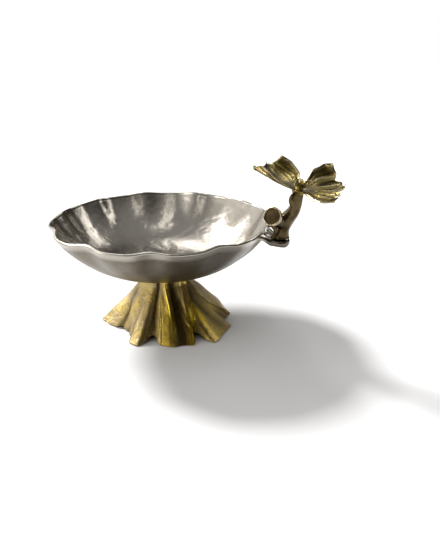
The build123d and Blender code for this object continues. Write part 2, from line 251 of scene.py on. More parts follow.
class Value:
    """A number, colour or geometry that a node gives, written as an expression."""

    def __init__(self, sheet: NodeSheet, socket: bpy.types.NodeSocket) -> None:
        """Keep the tree and the output that gives the value."""
        self.sheet = sheet
        self.socket = socket

    def _math(self, operation: str, *inputs: Value | float) -> Value:
        """Result of a math node."""
        return self.sheet.node("ShaderNodeMath", {"operation": operation}, inputs)

    def __add__(self, other: Value | float) -> Value:
        """Sum."""
        return self._math("ADD", self, other)

    __radd__ = __add__

    def __sub__(self, other: Value | float) -> Value:
        """Difference."""
        return self._math("SUBTRACT", self, other)

    def __rsub__(self, other: float) -> Value:
        """Difference from a number."""
        return self._math("SUBTRACT", other, self)

    def __mul__(self, other: Value | float) -> Value:
        """Product."""
        return self._math("MULTIPLY", self, other)

    __rmul__ = __mul__

    def __rtruediv__(self, other: float) -> Value:
        """A number divided by the value."""
        return self._math("DIVIDE", other, self)

    def above(self, limit: float) -> Value:
        """1 where the value is more than the limit, otherwise 0."""
        return self._math("GREATER_THAN", self, limit)

    def between(self, low: float, high: float) -> Value:
        """Ease from 0 where the value is low to 1 where it is high."""
        settings = {"interpolation_type": "SMOOTHSTEP"}
        inputs = {"Value": self, "From Min": low, "From Max": high}
        return self.sheet.node("ShaderNodeMapRange", settings, inputs, "Result")


class NodeSheet:
    """A node tree that is filled by expressions."""

    def __init__(self, tree: bpy.types.NodeTree) -> None:
        """Keep the tree."""
        self.tree = tree

    def fill(self, socket: bpy.types.NodeSocket, value: object) -> None:
        """Link an input to a Value, or set it to anything else."""
        if isinstance(value, Value):
            self.tree.links.new(value.socket, socket)
        else:
            socket.default_value = value

    def node(
        self,
        kind: str,
        settings: dict[str, object],
        inputs: dict[str | int, object] | Sequence[object],
        output: str | int = 0,
    ) -> Value:
        """Add a node.

        Args:
            kind: The node's type.
            settings: Its settings, set before its sockets.
            inputs: Values or links by socket name or number, or in order.
            output: The output socket wanted.

        Returns:
            The output as a Value.
        """
        node = self.tree.nodes.new(kind)
        for name, setting in settings.items():
            setattr(node, name, setting)
        pairs = inputs.items() if isinstance(inputs, dict) else enumerate(inputs)
        for key, value in pairs:
            self.fill(node.inputs[key], value)
        return Value(self, node.outputs[output])

    def mix(self, share: Value, first: Value | Colour, second: Value | Colour) -> Value:
        """Colour between two others.

        Args:
            share: 0 gives the first colour and 1 the second.
            first: A Value, or red, green and blue.
            second: The same.

        Returns:
            The colour. Its node has its colours at inputs 6 and 7 and at output 2.
        """
        colours = [end if isinstance(end, Value) else (*end, 1.0) for end in (first, second)]
        inputs = {0: share, 6: colours[0], 7: colours[1]}
        return self.node("ShaderNodeMix", {"data_type": "RGBA"}, inputs, 2)

    def along(self, place: Value, way: Point) -> Value:
        """How far a place lies in a direction."""
        settings = {"operation": "DOT_PRODUCT"}
        return self.node("ShaderNodeVectorMath", settings, {0: place, 1: way}, "Value")


class Shader(NodeSheet):
    """A material's node tree round one Principled shader."""

    def __init__(self, name: str) -> None:
        """Make the material and keep its shader."""
        self.material = bpy.data.materials.new(name)
        self.material.use_nodes = True
        super().__init__(self.material.node_tree)
        self.surface = self.tree.nodes["Principled BSDF"]

    def place(self) -> Value:
        """Object coordinates."""
        return self.node("ShaderNodeTexCoord", {}, {}, "Object")

    def mark(self, name: str) -> Value:
        """A mark that the mesh carries on its points."""
        return self.node("ShaderNodeAttribute", {"attribute_name": name}, {}, "Fac")

    def noise(self, scale: float, detail: float, roughness: float) -> Value:
        """Noise of a scale in features for each metre."""
        inputs = {
            "Vector": self.place(), "Scale": scale, "Detail": detail, "Roughness": roughness
        }
        return self.node("ShaderNodeTexNoise", {}, inputs, "Fac")

    def dents(self, scale: float, smoothness: float) -> Value:
        """Rounded dents of a scale in dents for each metre, 0 in their middles."""
        inputs = {"Vector": self.place(), "Scale": scale, "Smoothness": smoothness}
        return self.node("ShaderNodeTexVoronoi", {"feature": "SMOOTH_F1"}, inputs, "Distance")

    def relief(self, height: Value, depth: float, strength: float) -> Value:
        """Bump from a height of 0 to 1, depth in metres."""
        inputs = {"Strength": strength, "Distance": depth, "Height": height}
        return self.node("ShaderNodeBump", {}, inputs, "Normal")

    def feed(self, socket: str, value: Value | float) -> None:
        """Set or link one socket of the Principled shader."""
        self.fill(self.surface.inputs[socket], value)

    def metal(self, tone: Value, roughness: Value, relief: Value) -> bpy.types.Material:
        """Finish the material as bare metal and give it."""
        self.feed("Base Color", tone)
        self.feed("Metallic", 1.0)
        self.feed("Roughness", roughness)
        self.feed("Normal", relief)
        return self.material


class Growth(NodeSheet):
    """A Geometry Nodes tree with named inputs, grown once into a plain mesh."""

    def __init__(self, name: str) -> None:
        """Make the tree and its input node."""
        super().__init__(bpy.data.node_groups.new(name, "GeometryNodeTree"))
        self.entry = self.tree.nodes.new("NodeGroupInput")
        self.settings: dict[str, object] = {}

    def ask(self, name: str, kind: str, setting: object = None) -> Value:
        """Add a named input.

        Args:
            name: The input's name.
            kind: Its kind, such as Float, Int, Material or Geometry.
            setting: What it is set to before the tree is run; geometry has none.

        Returns:
            The input as a Value.
        """
        socket = self.tree.interface.new_socket(
            name=name, in_out="INPUT", socket_type=f"NodeSocket{kind}"
        )
        if setting is not None:
            self.settings[socket.identifier] = setting
        return Value(self, self.entry.outputs[name])

    def chance(self, low: float, high: float, seed: Value, step: int) -> Value:
        """A number between low and high, another one for each point and step."""
        # By number, because the node repeats its socket names for each type of value.
        inputs = {2: low, 3: high, 8: seed + step}
        return self.node("FunctionNodeRandomValue", {"data_type": "FLOAT"}, inputs, 1)

    def join(self, *geometries: Value) -> Value:
        """Geometries as one."""
        node = self.tree.nodes.new("GeometryNodeJoinGeometry")
        for geometry in geometries:
            self.tree.links.new(geometry.socket, node.inputs[0])
        return Value(self, node.outputs[0])

    def grow(self, name: str, start: bpy.types.Mesh, result: Value, metal: Value) -> bpy.types.Mesh:
        """Make instances real, give them their metal and run the tree on a mesh.

        Args:
            name: The result's name.
            start: Mesh that the tree is run on, used up by it.
            result: What the tree makes.
            metal: The input that holds its material.

        Returns:
            The finished mesh.
        """
        real = self.node("GeometryNodeRealizeInstances", {}, {0: result})
        dressed = self.node("GeometryNodeSetMaterial", {}, {"Geometry": real, "Material": metal})
        self.tree.interface.new_socket(
            name="Geometry", in_out="OUTPUT", socket_type="NodeSocketGeometry"
        )
        ending = self.tree.nodes.new("NodeGroupOutput")
        self.fill(ending.inputs[0], dressed)
        holder = place_object(start, name)
        modifier = holder.modifiers.new("grow", "NODES")
        modifier.node_group = self.tree
        for identifier, setting in self.settings.items():
            modifier[identifier] = setting
        apply_modifiers(holder)
        mesh = holder.data
        bpy.data.objects.remove(holder)
        return mesh


# Finishes: a scale counts a pattern's features in each metre, a depth is in metres


@dataclass(frozen=True)
class NickelPlate:
    """Polished nickel over a slightly grainy, hand-worked casting."""

    inside: Colour = (0.44, 0.41, 0.36)
    bright: Colour = (0.20, 0.176, 0.143)
    warm: Colour = (0.095, 0.074, 0.05)
    stain_and_shade: Colour = (0.05, 0.037, 0.021)
    cloud_scale: float = 24.0
    grain_scale: float = 1100.0
    pit_scale: float = 330.0
    wave_scale: float = 60.0
    dent_scale: float = 120.0
    dent_smoothness: float = 0.35
    roughness: float = 0.25
    depth: float = 0.0008

    def material(self) -> bpy.types.Material:
        """Build the material; the mesh marks buffed and hammered skin, and the lug's painted shade."""
        shader = Shader("nickel_plate")
        buffed = shader.mark("buffed")
        raw = 1.0 - buffed
        cloud = shader.noise(self.cloud_scale, 4.0, 0.55).between(0.35, 0.7)
        grain = shader.noise(self.grain_scale, 3.0, 0.6)
        pits = shader.noise(self.pit_scale, 4.0, 0.65).between(0.54, 0.70)
        tone = shader.mix(cloud * 0.8, self.bright, self.warm)
        tone = shader.mix(buffed * 0.9, tone, self.inside)
        tone = shader.mix(pits * raw * 0.45, tone, self.stain_and_shade)
        # Painted shade: the lug's tongue past the rim made almost as dark as the pits.
        tone = shader.mix(shader.mark("darkened") * 0.92, tone, self.stain_and_shade)
        rough = self.roughness + 0.12 * grain + 0.08 * cloud - 0.15 * buffed
        dents = shader.dents(self.dent_scale, self.dent_smoothness) * shader.mark("hammered")
        waves = shader.noise(self.wave_scale, 2.0, 0.5)
        height = dents * 0.55 + waves * 0.9 + (grain * 0.22 + pits * 0.2) * raw
        return shader.metal(tone, rough, shader.relief(height, self.depth, 0.8))


@dataclass(frozen=True)
class GoldPlate:
    """Gold plate over fine cast grain, polished on ridges and edges, dark in grooves, painted sheen.
    """

    satin: Colour = (0.36, 0.28, 0.15)
    rich: Colour = (0.60, 0.42, 0.025)
    groove: Colour = (0.036, 0.021, 0.005)
    cloud_scale: float = 40.0
    grain_scale: float = 900.0
    skin_scale: float = 240.0
    roughness: float = 0.34
    depth: float = 0.0009

    def material(self) -> bpy.types.Material:
        """Build the material; the mesh marks ridges, valleys and gold of polish and painted sheen."""
        shader = Shader("gold_plate")
        polish = shader.mark("polish")
        cloud = shader.noise(self.cloud_scale, 4.0, 0.6).between(0.36, 0.66)
        grain = shader.noise(self.grain_scale, 3.0, 0.65)
        skin = shader.noise(self.skin_scale, 4.0, 0.65)
        # Saturated gold: polish on the ridges, and painted sheen on the foot's sides and front.
        tone = shader.mix(cloud * 0.35 + shader.mark("rich") * 0.75, self.satin, self.rich)
        pits = skin.between(0.52, 0.68) * (1.0 - polish)
        tone = shader.mix(pits * 0.35, tone, self.groove)
        tone = shader.mix(shader.mark("groove") * 0.9, tone, self.groove)
        rough = self.roughness + 0.16 * grain - 0.18 * polish - 0.05 * cloud
        height = (grain * 0.5 + skin * 1.5) * (1.0 - polish * 0.8)
        return shader.metal(tone, rough, shader.relief(height, self.depth, 0.9))


@dataclass(frozen=True)
class AntiqueBrass:
    """Polished brass with brown left in its grooves and painted shade; lumps weighs its coarse relief.
    """

    name: str = "antique_brass"
    bright: Colour = (0.115, 0.084, 0.042)
    deep: Colour = (0.045, 0.031, 0.014)
    groove: Colour = (0.02, 0.013, 0.006)
    wear_and_highlight: Colour = (0.42, 0.36, 0.25)
    cloud_scale: float = 75.0
    grain_scale: float = 1400.0
    skin_scale: float = 420.0
    lump_scale: float = 130.0
    lumps: float = 0.0
    roughness: float = 0.22
    depth: float = 0.0005

    def material(self) -> bpy.types.Material:
        """Build the material; the mesh marks grooves, painted shade, rims with wear and painted
        highlights.
        """
        shader = Shader(self.name)
        groove_and_shade = shader.mark("groove")
        rim = shader.mark("rim")
        cloud = shader.noise(self.cloud_scale, 4.0, 0.6).between(0.36, 0.66)
        grain = shader.noise(self.grain_scale, 2.0, 0.6)
        skin = shader.noise(self.skin_scale, 3.0, 0.55)
        tone = shader.mix(cloud * 0.85 * (1.0 - rim), self.bright, self.deep)
        # Brown left in the grooves, and painted shade on the flower's middle, cup and undersides.
        tone = shader.mix(groove_and_shade * 0.92, tone, self.groove)
        # Wear on rims and margins, and painted highlights on the petals' rib crests.
        tone = shader.mix(rim * 0.9, tone, self.wear_and_highlight)
        rough = self.roughness + 0.08 * grain + 0.10 * cloud + 0.15 * groove_and_shade - 0.08 * rim
        lumps = shader.noise(self.lump_scale, 2.0, 0.5) * self.lumps
        height = grain * 0.3 + skin * 0.8 + lumps
        return shader.metal(tone, rough, shader.relief(height, self.depth, 0.7))


@dataclass(frozen=True)
class PlainSteel:
    """Zinc-plated steel of the hidden fasteners."""

    tone: Colour = (0.52, 0.52, 0.53)
    dull: Colour = (0.34, 0.34, 0.36)
    cloud_scale: float = 260.0
    scratch_scale: float = 2400.0
    roughness: float = 0.30
    depth: float = 0.0001

    def material(self) -> bpy.types.Material:
        """Build the material."""
        shader = Shader("plain_steel")
        cloud = shader.noise(self.cloud_scale, 3.0, 0.6).between(0.35, 0.7)
        scratches = shader.noise(self.scratch_scale, 2.0, 0.7)
        tone = shader.mix(cloud, self.tone, self.dull)
        relief = shader.relief(scratches, self.depth, 0.4)
        return shader.metal(tone, self.roughness + 0.15 * cloud, relief)


def dress(
    piece: bpy.types.Object, material: bpy.types.Material, nodes: Sequence[str]
) -> None:
    """Give a piece its finish and its place in the frame.

    Args:
        piece: The finished mesh object.
        material: Its finish.
        nodes: The nodes that it stands for.
    """
    piece.data.materials.clear()
    piece.data.materials.append(material)
    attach(piece, ROOT)
    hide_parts(*nodes)
    LOG.info("%s: %d faces", piece.name, len(piece.data.polygons))


# Bowl


@dataclass
class Bowl:
    """Shallow shell with a waved, beaded rim and a lug for the branch.

    Sizes are in millimetres, directions in degrees, and a span is a start and an end.
    """

    rim_radius: float = 110.0
    rim_height: float = 110.0
    seat_radius: float = 24.0
    seat_height: float = 59.5
    wall: float = 2.6
    power: float = 3.5
    bead: float = 1.55
    bead_start: float = -67.0
    bead_sweep: float = 250.0
    bead_inset: float = 1.4
    wave_count: int = 11
    wave_crest: float = -68.0
    wave_start: float = 80.0
    wave_flare: float = 2.5
    wave_lift: float = 1.4
    wave_calm: float = 17.0
    uneven: float = 0.22
    uneven_span: tuple[float, float] = (26.0, 46.0)
    buffed_span: tuple[float, float] = (105.5, 108.5)
    buffed_inside: float = 0.75
    hammered_span: tuple[float, float] = (70.0, 95.0)
    hammered_floor: float = 0.35
    lug_dip: float = 2.6
    lug_dip_half: float = 3.6
    lug_top: float = 106.85
    lug_start: float = 104.6
    lug_end: float = 133.5
    lug_half: float = 9.6
    lug_flare: float = 20.0
    lug_flare_run: float = 5.0
    lug_root: float = 3.6
    lug_root_end: float = 118.6
    lug_thickness: float = 7.2
    lug_nose: float = 3.2
    lug_nose_drop: float = 1.2
    lug_droop: float = 1.1
    lug_droop_span: tuple[float, float] = (118.0, 133.0)
    lug_lips: float = 3.9
    lug_lips_up: tuple[float, float] = (105.0, 109.0)
    lug_lips_down: tuple[float, float] = (109.5, 119.0)
    lug_lips_side: tuple[float, float] = (1.5, 7.5)
    lug_straight: tuple[float, float] = (106.0, 114.0)
    # Painted shade on the lug's tongue: its weight, and where along X it fades in.
    lug_shade: float = 0.85
    lug_shade_span: tuple[float, float] = (110.5, 116.5)
    spigot_radius: float = 8.0
    spigot_length: float = 8.0
    thread_radius: float = 3.0
    thread_depth: float = 10.0
    columns: int = 528
    wall_rows: int = 58
    bead_rows: int = 8
    lug_rows: int = 44
    lug_sides: int = 48

    def wall_point(self, radius: float, depth: float) -> tuple[float, float]:
        """Point of the wall's section.

        Args:
            radius: Where on the outer face the point is measured from.
            depth: How far inside the outer face it lies.

        Returns:
            Its radius and height.
        """
        rise = self.rim_height - self.seat_height
        share = radius / self.rim_radius
        slope = self.power * rise / self.rim_radius * share ** (self.power - 1.0)
        length = math.hypot(1.0, slope)
        height = self.seat_height + rise * share**self.power
        return radius - depth * slope / length, height + depth / length

    def wave(self, angle: float) -> float:
        """Height of the rim's wave, 1 at a crest, uneven as hand work is."""
        wander = 1.05 * math.sin(math.radians(2.0 * angle + 40.0))
        turn = math.radians(self.wave_count * (angle + wander - self.wave_crest))
        wave = (math.cos(turn) + 0.25 * math.cos(2.0 * turn)) / 1.25
        size = 1.0 + 0.16 * math.sin(math.radians(3.0 * angle + 70.0))
        return wave * size * (1.0 - bump(angle, 0.0, self.wave_calm))

    def wave_share(self, radius: float) -> float:
        """Share of the rim's wave that the wall takes at a radius."""
        return ease(radius, self.wave_start, self.rim_radius)

    def skin_points(self) -> list[tuple[float, float, float, float, float]]:
        """Section of the shell from the middle of its outer floor to the inner floor.

        Returns:
            Radius, height, share of the rim's wave, buffed mark and hammered mark.
        """
        spigot_floor = self.seat_height - self.spigot_length
        plain = (
            (self.thread_radius, spigot_floor + self.thread_depth),
            (self.thread_radius, spigot_floor),
            (self.spigot_radius, spigot_floor),
            (self.spigot_radius, self.seat_height),
        )
        rows = [(radius, height, 0.0, 0.0, 0.0) for radius, height in plain]
        reach = self.rim_radius - self.bead_inset - self.seat_radius
        radii = [
            self.seat_radius + reach * row / self.wall_rows for row in range(self.wall_rows + 1)
        ]
        for radius in radii:
            base, height = self.wall_point(radius, 0.0)
            buffed = ease(radius, *self.buffed_span)
            rows.append((base, height, self.wave_share(radius), buffed, 0.0))
        rim, rim_height = self.wall_point(self.rim_radius, self.wall / 2.0)
        for row in range(self.bead_rows + 1):
            turn = math.radians(self.bead_start + self.bead_sweep * row / self.bead_rows)
            base = rim + self.bead * math.cos(turn)
            rows.append((base, rim_height + self.bead * math.sin(turn), 1.0, 1.0, 0.0))
        for radius in reversed(radii):
            base, height = self.wall_point(radius, self.wall)
            share = self.wave_share(radius)
            hammered = ease(radius, *self.hammered_span)
            hammered = self.hammered_floor + (1.0 - self.hammered_floor) * hammered
            hammered *= 1.0 - 0.6 * share * share
            rows.append((base, height, share, self.buffed_inside, hammered))
        return rows

    def shell(self) -> bpy.types.Object:
        """The shell without its lug."""
        draft = MeshDraft()
        rings = []
        angles = [360.0 * column / self.columns for column in range(self.columns)]
        for base, height, share, buffed, hammered in self.skin_points():
            ring = []
            for angle in angles:
                wave = self.wave(angle)
                dip = self.lug_dip * bump(angle, 0.0, self.lug_dip_half, 4.0)
                uneven = self.uneven * ripple(base * 0.09, angle * 0.16, height * 0.1, 1.0)
                uneven *= ease(base, *self.uneven_span) * (1.0 - 0.7 * share)
                radius = base - share * self.wave_flare * wave + uneven
                z = height + share * (self.wave_lift * wave - dip)
                turn = math.radians(angle)
                ring.append((radius * math.cos(turn), radius * math.sin(turn), z))
            rings.append(draft.add_ring(ring, buffed=buffed, hammered=hammered, darkened=0.0))
        draft.skin(rings)
        return draft.build("bowl_shell", 50.0)

    def lug_ring(self, x: float) -> list[Point]:
        """Ring round the lug at a place along X, in line with the rim where it leaves it."""
        half = self.lug_half + self.lug_flare * math.exp((self.lug_start - x) / self.lug_flare_run)
        round_start = self.lug_end - self.lug_half
        if x > round_start:
            bow = ((x - round_start) / self.lug_half) ** 2
            half *= math.sqrt(max(0.0, 1.0 - bow)) + 0.004
        thick = self.lug_root
        thick += (self.lug_thickness - self.lug_root) * ease(x, self.lug_start, self.lug_root_end)
        edge = max(0.0, (x - (self.lug_end - self.lug_nose)) / self.lug_nose)
        thick *= math.sqrt(max(0.0, 1.0 - edge * edge)) * 0.92 + 0.08
        droop = self.lug_droop * ease(x, *self.lug_droop_span) + self.lug_nose_drop * edge * edge
        middle = self.lug_top - droop - thick / 2.0
        lips = self.lug_lips * ease(x, *self.lug_lips_up) * (1.0 - ease(x, *self.lug_lips_down))
        straight = ease(x, *self.lug_straight)
        ring = []
        for turn in around(self.lug_sides):
            across, over = math.cos(turn), math.sin(turn)
            y = half * math.copysign(abs(across) ** 0.55, across)
            z = middle + thick / 2.0 * math.copysign(abs(over) ** 0.62, over)
            z += lips * ease(abs(y), *self.lug_lips_side)
            bend = math.sqrt(max(1.0, x * x - y * y))
            ring.append((bend * (1.0 - straight) + x * straight, y, z))
        return ring

    def lug(self) -> bpy.types.Object:
        """Spout-like tongue that runs down from the rim, thick and round at its end."""
        draft = MeshDraft()
        rings = []
        reach = self.lug_end - 0.02 - self.lug_start
        for row in range(self.lug_rows + 1):
            x = self.lug_start + reach * (1.0 - (1.0 - row / self.lug_rows) ** 1.6)
            # Painted shade: the tongue made darker from just past the rim to its end, where the branch
            # stands.
            dark = self.lug_shade * ease(x, *self.lug_shade_span)
            rings.append(
                draft.add_ring(self.lug_ring(x), buffed=1.0, hammered=0.0, darkened=dark)
            )
        draft.skin(rings)
        return draft.build("bowl_lug", 60.0)

    def build(self) -> None:
        """The whole bowl as one piece."""
        piece = join_pieces("bowl_body", [self.shell(), self.lug()], 50.0)
        dress(piece, NickelPlate().material(), ["bowl"])


# Foot


@dataclass(frozen=True)
class Fold:
    """A ridge or, with negative sizes, a channel that wanders up the skirt.

    The four directions and sizes are those at the neck, a third and two thirds of the way
    down, and the floor. A mark above 0 polishes the fold and one below 0 leaves it dark.
    """

    directions: tuple[float, float, float, float]
    sizes: tuple[float, float, float, float]
    half_width: float
    power: float = 2.0
    mark: float = 0.0

    def shape(self, angle: float, left: float) -> tuple[float, float]:
        """Size of the fold and its share there, left of the way down from the neck."""
        where = min(2.999, left * 3.0)
        index = int(where)
        share = where - index
        first, second = self.directions[index : index + 2]
        here = bump(angle, first + (second - first) * share, self.half_width, self.power)
        share = smooth_step(share)
        return self.sizes[index] + (self.sizes[index + 1] - self.sizes[index]) * share, here

    def swell(self, angle: float, left: float) -> float:
        """Height that the fold adds to the skirt."""
        size, here = self.shape(angle, left)
        return size * here

    def shine(self, angle: float, left: float) -> float:
        """Polish, or below 0 dark, that the fold leaves on the skirt."""
        size, here = self.shape(angle, left)
        return self.mark * here * min(1.0, abs(size) / 1.5)


@dataclass
class Foot:
    """Hollow skirt cast like a draped leaf, with a solid crown under the bowl.

    The outline gives the radius on the floor by direction, an arch is a direction, a half
    width and a height, a hem step is an inset and a lift, and a sheen side, a patch of painted
    sheen, is a direction, a half width, a power and a weight.
    """

    skirt_top: float = 46.0
    neck_radius: float = 24.5
    mean_radius: float = 60.0
    skirt_curve: float = 1.12
    hem_curve: float = 2.6
    wall: float = 4.9
    crown_floor: float = 46.0
    top: float = 59.5
    edge_round: float = 0.6
    seat_radius: float = 24.0
    socket_radius: float = 8.1
    socket_depth: float = 8.4
    hole_radius: float = 3.25
    uneven: float = 0.7
    uneven_fine: float = 0.3
    near_turn: float = 3.0
    wide_turn: float = 8.0
    hidden_groove: float = 0.6
    columns: int = 720
    outer_rows: int = 72
    inner_rows: int = 30
    hem_height: float = 1.2
    hem: tuple[tuple[float, float], ...] = ((0.35, 0.35), (1.1, 0.0), (3.6, 0.0), (4.6, 0.7))
    outline: tuple[tuple[float, float], ...] = (
        (-163.0, 64.0), (-154.0, 67.0), (-146.0, 62.0), (-133.0, 57.5), (-124.0, 52.5), (-114.0, 49.0),
        (-104.0, 55.0), (-95.0, 67.5), (-87.0, 69.0), (-80.0, 59.0), (-74.0, 59.5), (-67.0, 64.5),
        (-52.0, 71.5), (-40.0, 71.0), (-32.0, 64.5), (-24.0, 80.0), (-10.0, 75.0), (5.0, 75.0),
        (17.0, 64.5), (27.0, 73.0), (45.0, 67.0), (63.0, 57.0), (84.0, 70.0), (102.0, 57.5),
        (116.0, 63.0), (134.0, 71.0), (152.0, 58.0), (180.0, 63.0),
    )
    folds: tuple[Fold, ...] = (
        Fold((-160.0, -158.0, -155.0, -152.0), (1.0, 2.4, 3.8, 2.8), 15.0),
        Fold((-142.0, -139.0, -128.0, -125.0), (0.0, -2.0, -3.4, -1.8), 8.0, 2.0, -0.6),
        Fold((-112.0, -114.0, -115.5, -121.0), (0.6, 2.6, 3.2, 1.8), 7.5, 2.0, 0.2),
        Fold((-95.0, -92.0, -89.0, -90.0), (1.0, 1.8, 2.2, 0.6), 12.0),
        Fold((-77.5, -77.5, -76.5, -76.0), (-2.6, -2.1, -1.6, -1.0), 4.5, 1.8, -0.6),
        Fold((-61.0, -55.5, -54.0, -57.0), (2.8, 3.0, 1.8, 0.6), 3.8, 1.5, 0.9),
        Fold((-43.0, -42.0, -45.0, -49.0), (-3.8, -4.6, -4.8, -2.6), 9.0, 3.0, -1.0),
        Fold((-24.5, -30.5, -34.0, -40.0), (2.0, 2.2, 0.8, 0.0), 2.2, 1.6, 0.7),
        Fold((-10.0, -20.5, -31.0, -42.5), (3.0, 3.8, 4.0, 3.4), 3.6, 1.5, 1.0),
        Fold((3.0, -7.0, -3.0, -2.0), (-1.0, -2.6, -3.0, -0.8), 8.5, 2.0, -0.7),
        Fold((-12.0, -15.0, -24.5, -31.0), (0.0, -1.0, -3.0, -1.4), 4.0, 2.0, -0.5),
        Fold((16.0, 10.0, 19.0, 27.0), (1.0, 3.4, 4.2, 2.6), 6.0, 1.6, 0.3),
        Fold((40.0, 42.0, 46.0, 50.0), (3.0, 8.0, 9.0, 2.0), 19.0, 2.4),
        Fold((62.0, 64.0, 66.0, 66.0), (-1.0, -3.4, -3.8, -1.6), 8.0, 2.0, -0.6),
        Fold((78.0, 80.0, 84.0, 86.0), (1.4, 3.0, 3.4, 2.0), 10.0, 2.0, 0.4),
        Fold((100.0, 104.0, 104.0, 102.0), (-1.6, -3.0, -2.8, -1.0), 7.0, 2.0, -0.7),
        Fold((126.0, 128.0, 132.0, 134.0), (1.4, 3.0, 3.4, 2.0), 7.0, 1.6, 0.8),
        Fold((150.0, 152.0, 155.0, 154.0), (-1.2, -2.6, -2.4, -1.0), 8.0, 2.0, -0.6),
        Fold((172.0, 174.0, 178.0, 182.0), (0.4, 1.6, 2.2, 1.0), 9.0),
    )
    arches: tuple[tuple[float, float, float], ...] = (
        (-76.0, 6.0, 5.4), (-32.0, 4.5, 5.0), (40.0, 16.0, 7.0), (101.0, 7.0, 5.0), (-125.0, 7.0, 2.6),
        (153.0, 6.0, 4.0),
    )
    rich_sides: tuple[tuple[float, float, float, float], ...] = (
        (-45.0, 38.0, 4.0, 0.18), (112.0, 28.0, 3.0, 0.6),
    )

    def floor_radius(self, angle: float) -> float:
        """Radius of the skirt's outline on the floor, eased between its points."""
        angle = (angle - self.outline[0][0]) % 360.0 + self.outline[0][0]
        first, first_radius = self.outline[0]
        points = (*self.outline, (first + 360.0, first_radius))
        for (here, radius), (after, next_radius) in zip(points, points[1:]):
            if angle <= after:
                return radius + (next_radius - radius) * ease(angle, here, after)
        return first_radius

    def radius(self, angle: float, height: float) -> float:
        """Radius of the skirt's outer face."""
        left = self.way_down(height)
        radius = self.neck_radius + (self.mean_radius - self.neck_radius) * left**self.skirt_curve
        radius += (self.floor_radius(angle) - self.mean_radius) * left**self.hem_curve
        return radius + sum(fold.swell(angle, left) for fold in self.folds)

    def way_down(self, height: float) -> float:
        """Share of the way down from the neck to the floor."""
        return max(0.0, 1.0 - height / self.skirt_top)

    def edge_height(self, angle: float) -> float:
        """Height of the skirt's lower edge: 0 where it stands, more in the arches."""
        return sum(height * bump(angle, where, half, 3.0) for where, half, height in self.arches)

    def unevenness(self, angle: float, height: float) -> float:
        """Slow and finer waves that the hand-worked pattern left on the outer face."""
        x, y = math.cos(math.radians(angle)), math.sin(math.radians(angle))
        slow = self.uneven * ripple(x * 4.0, y * 4.0, height * 0.11, 2.0)
        return slow + self.uneven_fine * ripple(x * 11.0, y * 11.0, height * 0.33, 5.0)

    def rows(self) -> list[tuple[list[float], list[float], bool]]:
        """Rings of the skirt as radii and heights, and whether the ring can be seen.

        Returns:
            The rings from the crown's hole over the outer face and the hem to the inside.
        """
        angles = [360.0 * column / self.columns for column in range(self.columns)]
        lows = [self.edge_height(angle) for angle in angles]
        socket_floor = self.top - self.socket_depth
        flat = (
            (self.hole_radius, self.crown_floor), (self.hole_radius, socket_floor),
            (self.socket_radius, socket_floor), (self.socket_radius, self.top),
            (self.seat_radius - self.edge_round, self.top),
        )
        rows = [([radius] * self.columns, [height] * self.columns, False) for radius, height in flat]
        start = self.top - self.edge_round
        for row in range(self.outer_rows + 1):
            share = row / self.outer_rows
            heights = [start + (low + self.hem_height - start) * share for low in lows]
            radii = [
                self.radius(angle, height) + self.unevenness(angle, height) * smooth_step(share * 4.0)
                for angle, height in zip(angles, heights)
            ]
            rows.append((radii, heights, True))
        outer = rows[-1][0]
        for inset, lift in self.hem:
            rows.append(([radius - inset for radius in outer], [low + lift for low in lows], True))
        for row in range(1, self.inner_rows + 1):
            share = row / self.inner_rows
            lift = self.hem[-1][1]
            heights = [low + lift + (self.crown_floor - low - lift) * share for low in lows]
            radii = [
                self.radius(angle, height + 1.0) - self.wall for angle, height in zip(angles, heights)
            ]
            rows.append((radii, heights, False))
        return rows

    def marks(self, angle: float, left: float, proud: float) -> tuple[float, float, float]:
        """Looks of the outer face at a place.

        Args:
            angle: Its direction.
            left: Share of the way down from the neck.
            proud: How far it stands out of the face round it.

        Returns:
            Polish, groove and saturated gold of polish and painted sheen, each from 0 to 1.
        """
        shines = [fold.shine(angle, left) for fold in self.folds if fold.mark]
        bright = sum(shine for shine in shines if shine > 0.0)
        dark = -sum(shine for shine in shines if shine < 0.0)
        polish = bright + 0.5 * ease(proud, 0.3, 1.5)
        groove = dark * (1.0 - bright) + 0.35 * ease(-proud, 0.3, 1.8)
        # Saturated gold: painted sheen, and polish on the bright folds.
        rich = self.richness(angle, left) + 0.8 * bright
        return min(1.0, polish), min(1.0, groove), min(1.0, rich)

    def richness(self, angle: float, left: float) -> float:
        """Weight of the painted sheen of saturated gold on the sides and on two patches of the front.
        """
        rich = sum(weight * bump(angle, *side) for *side, weight in self.rich_sides)
        rich += 0.9 * bump(angle, -16.0, 7.0, 3.0) * bump(left * 60.0, 32.0, 13.0)
        return rich + 0.4 * bump(angle, -63.0, 5.0, 3.0) * smooth_step(left * 2.0)

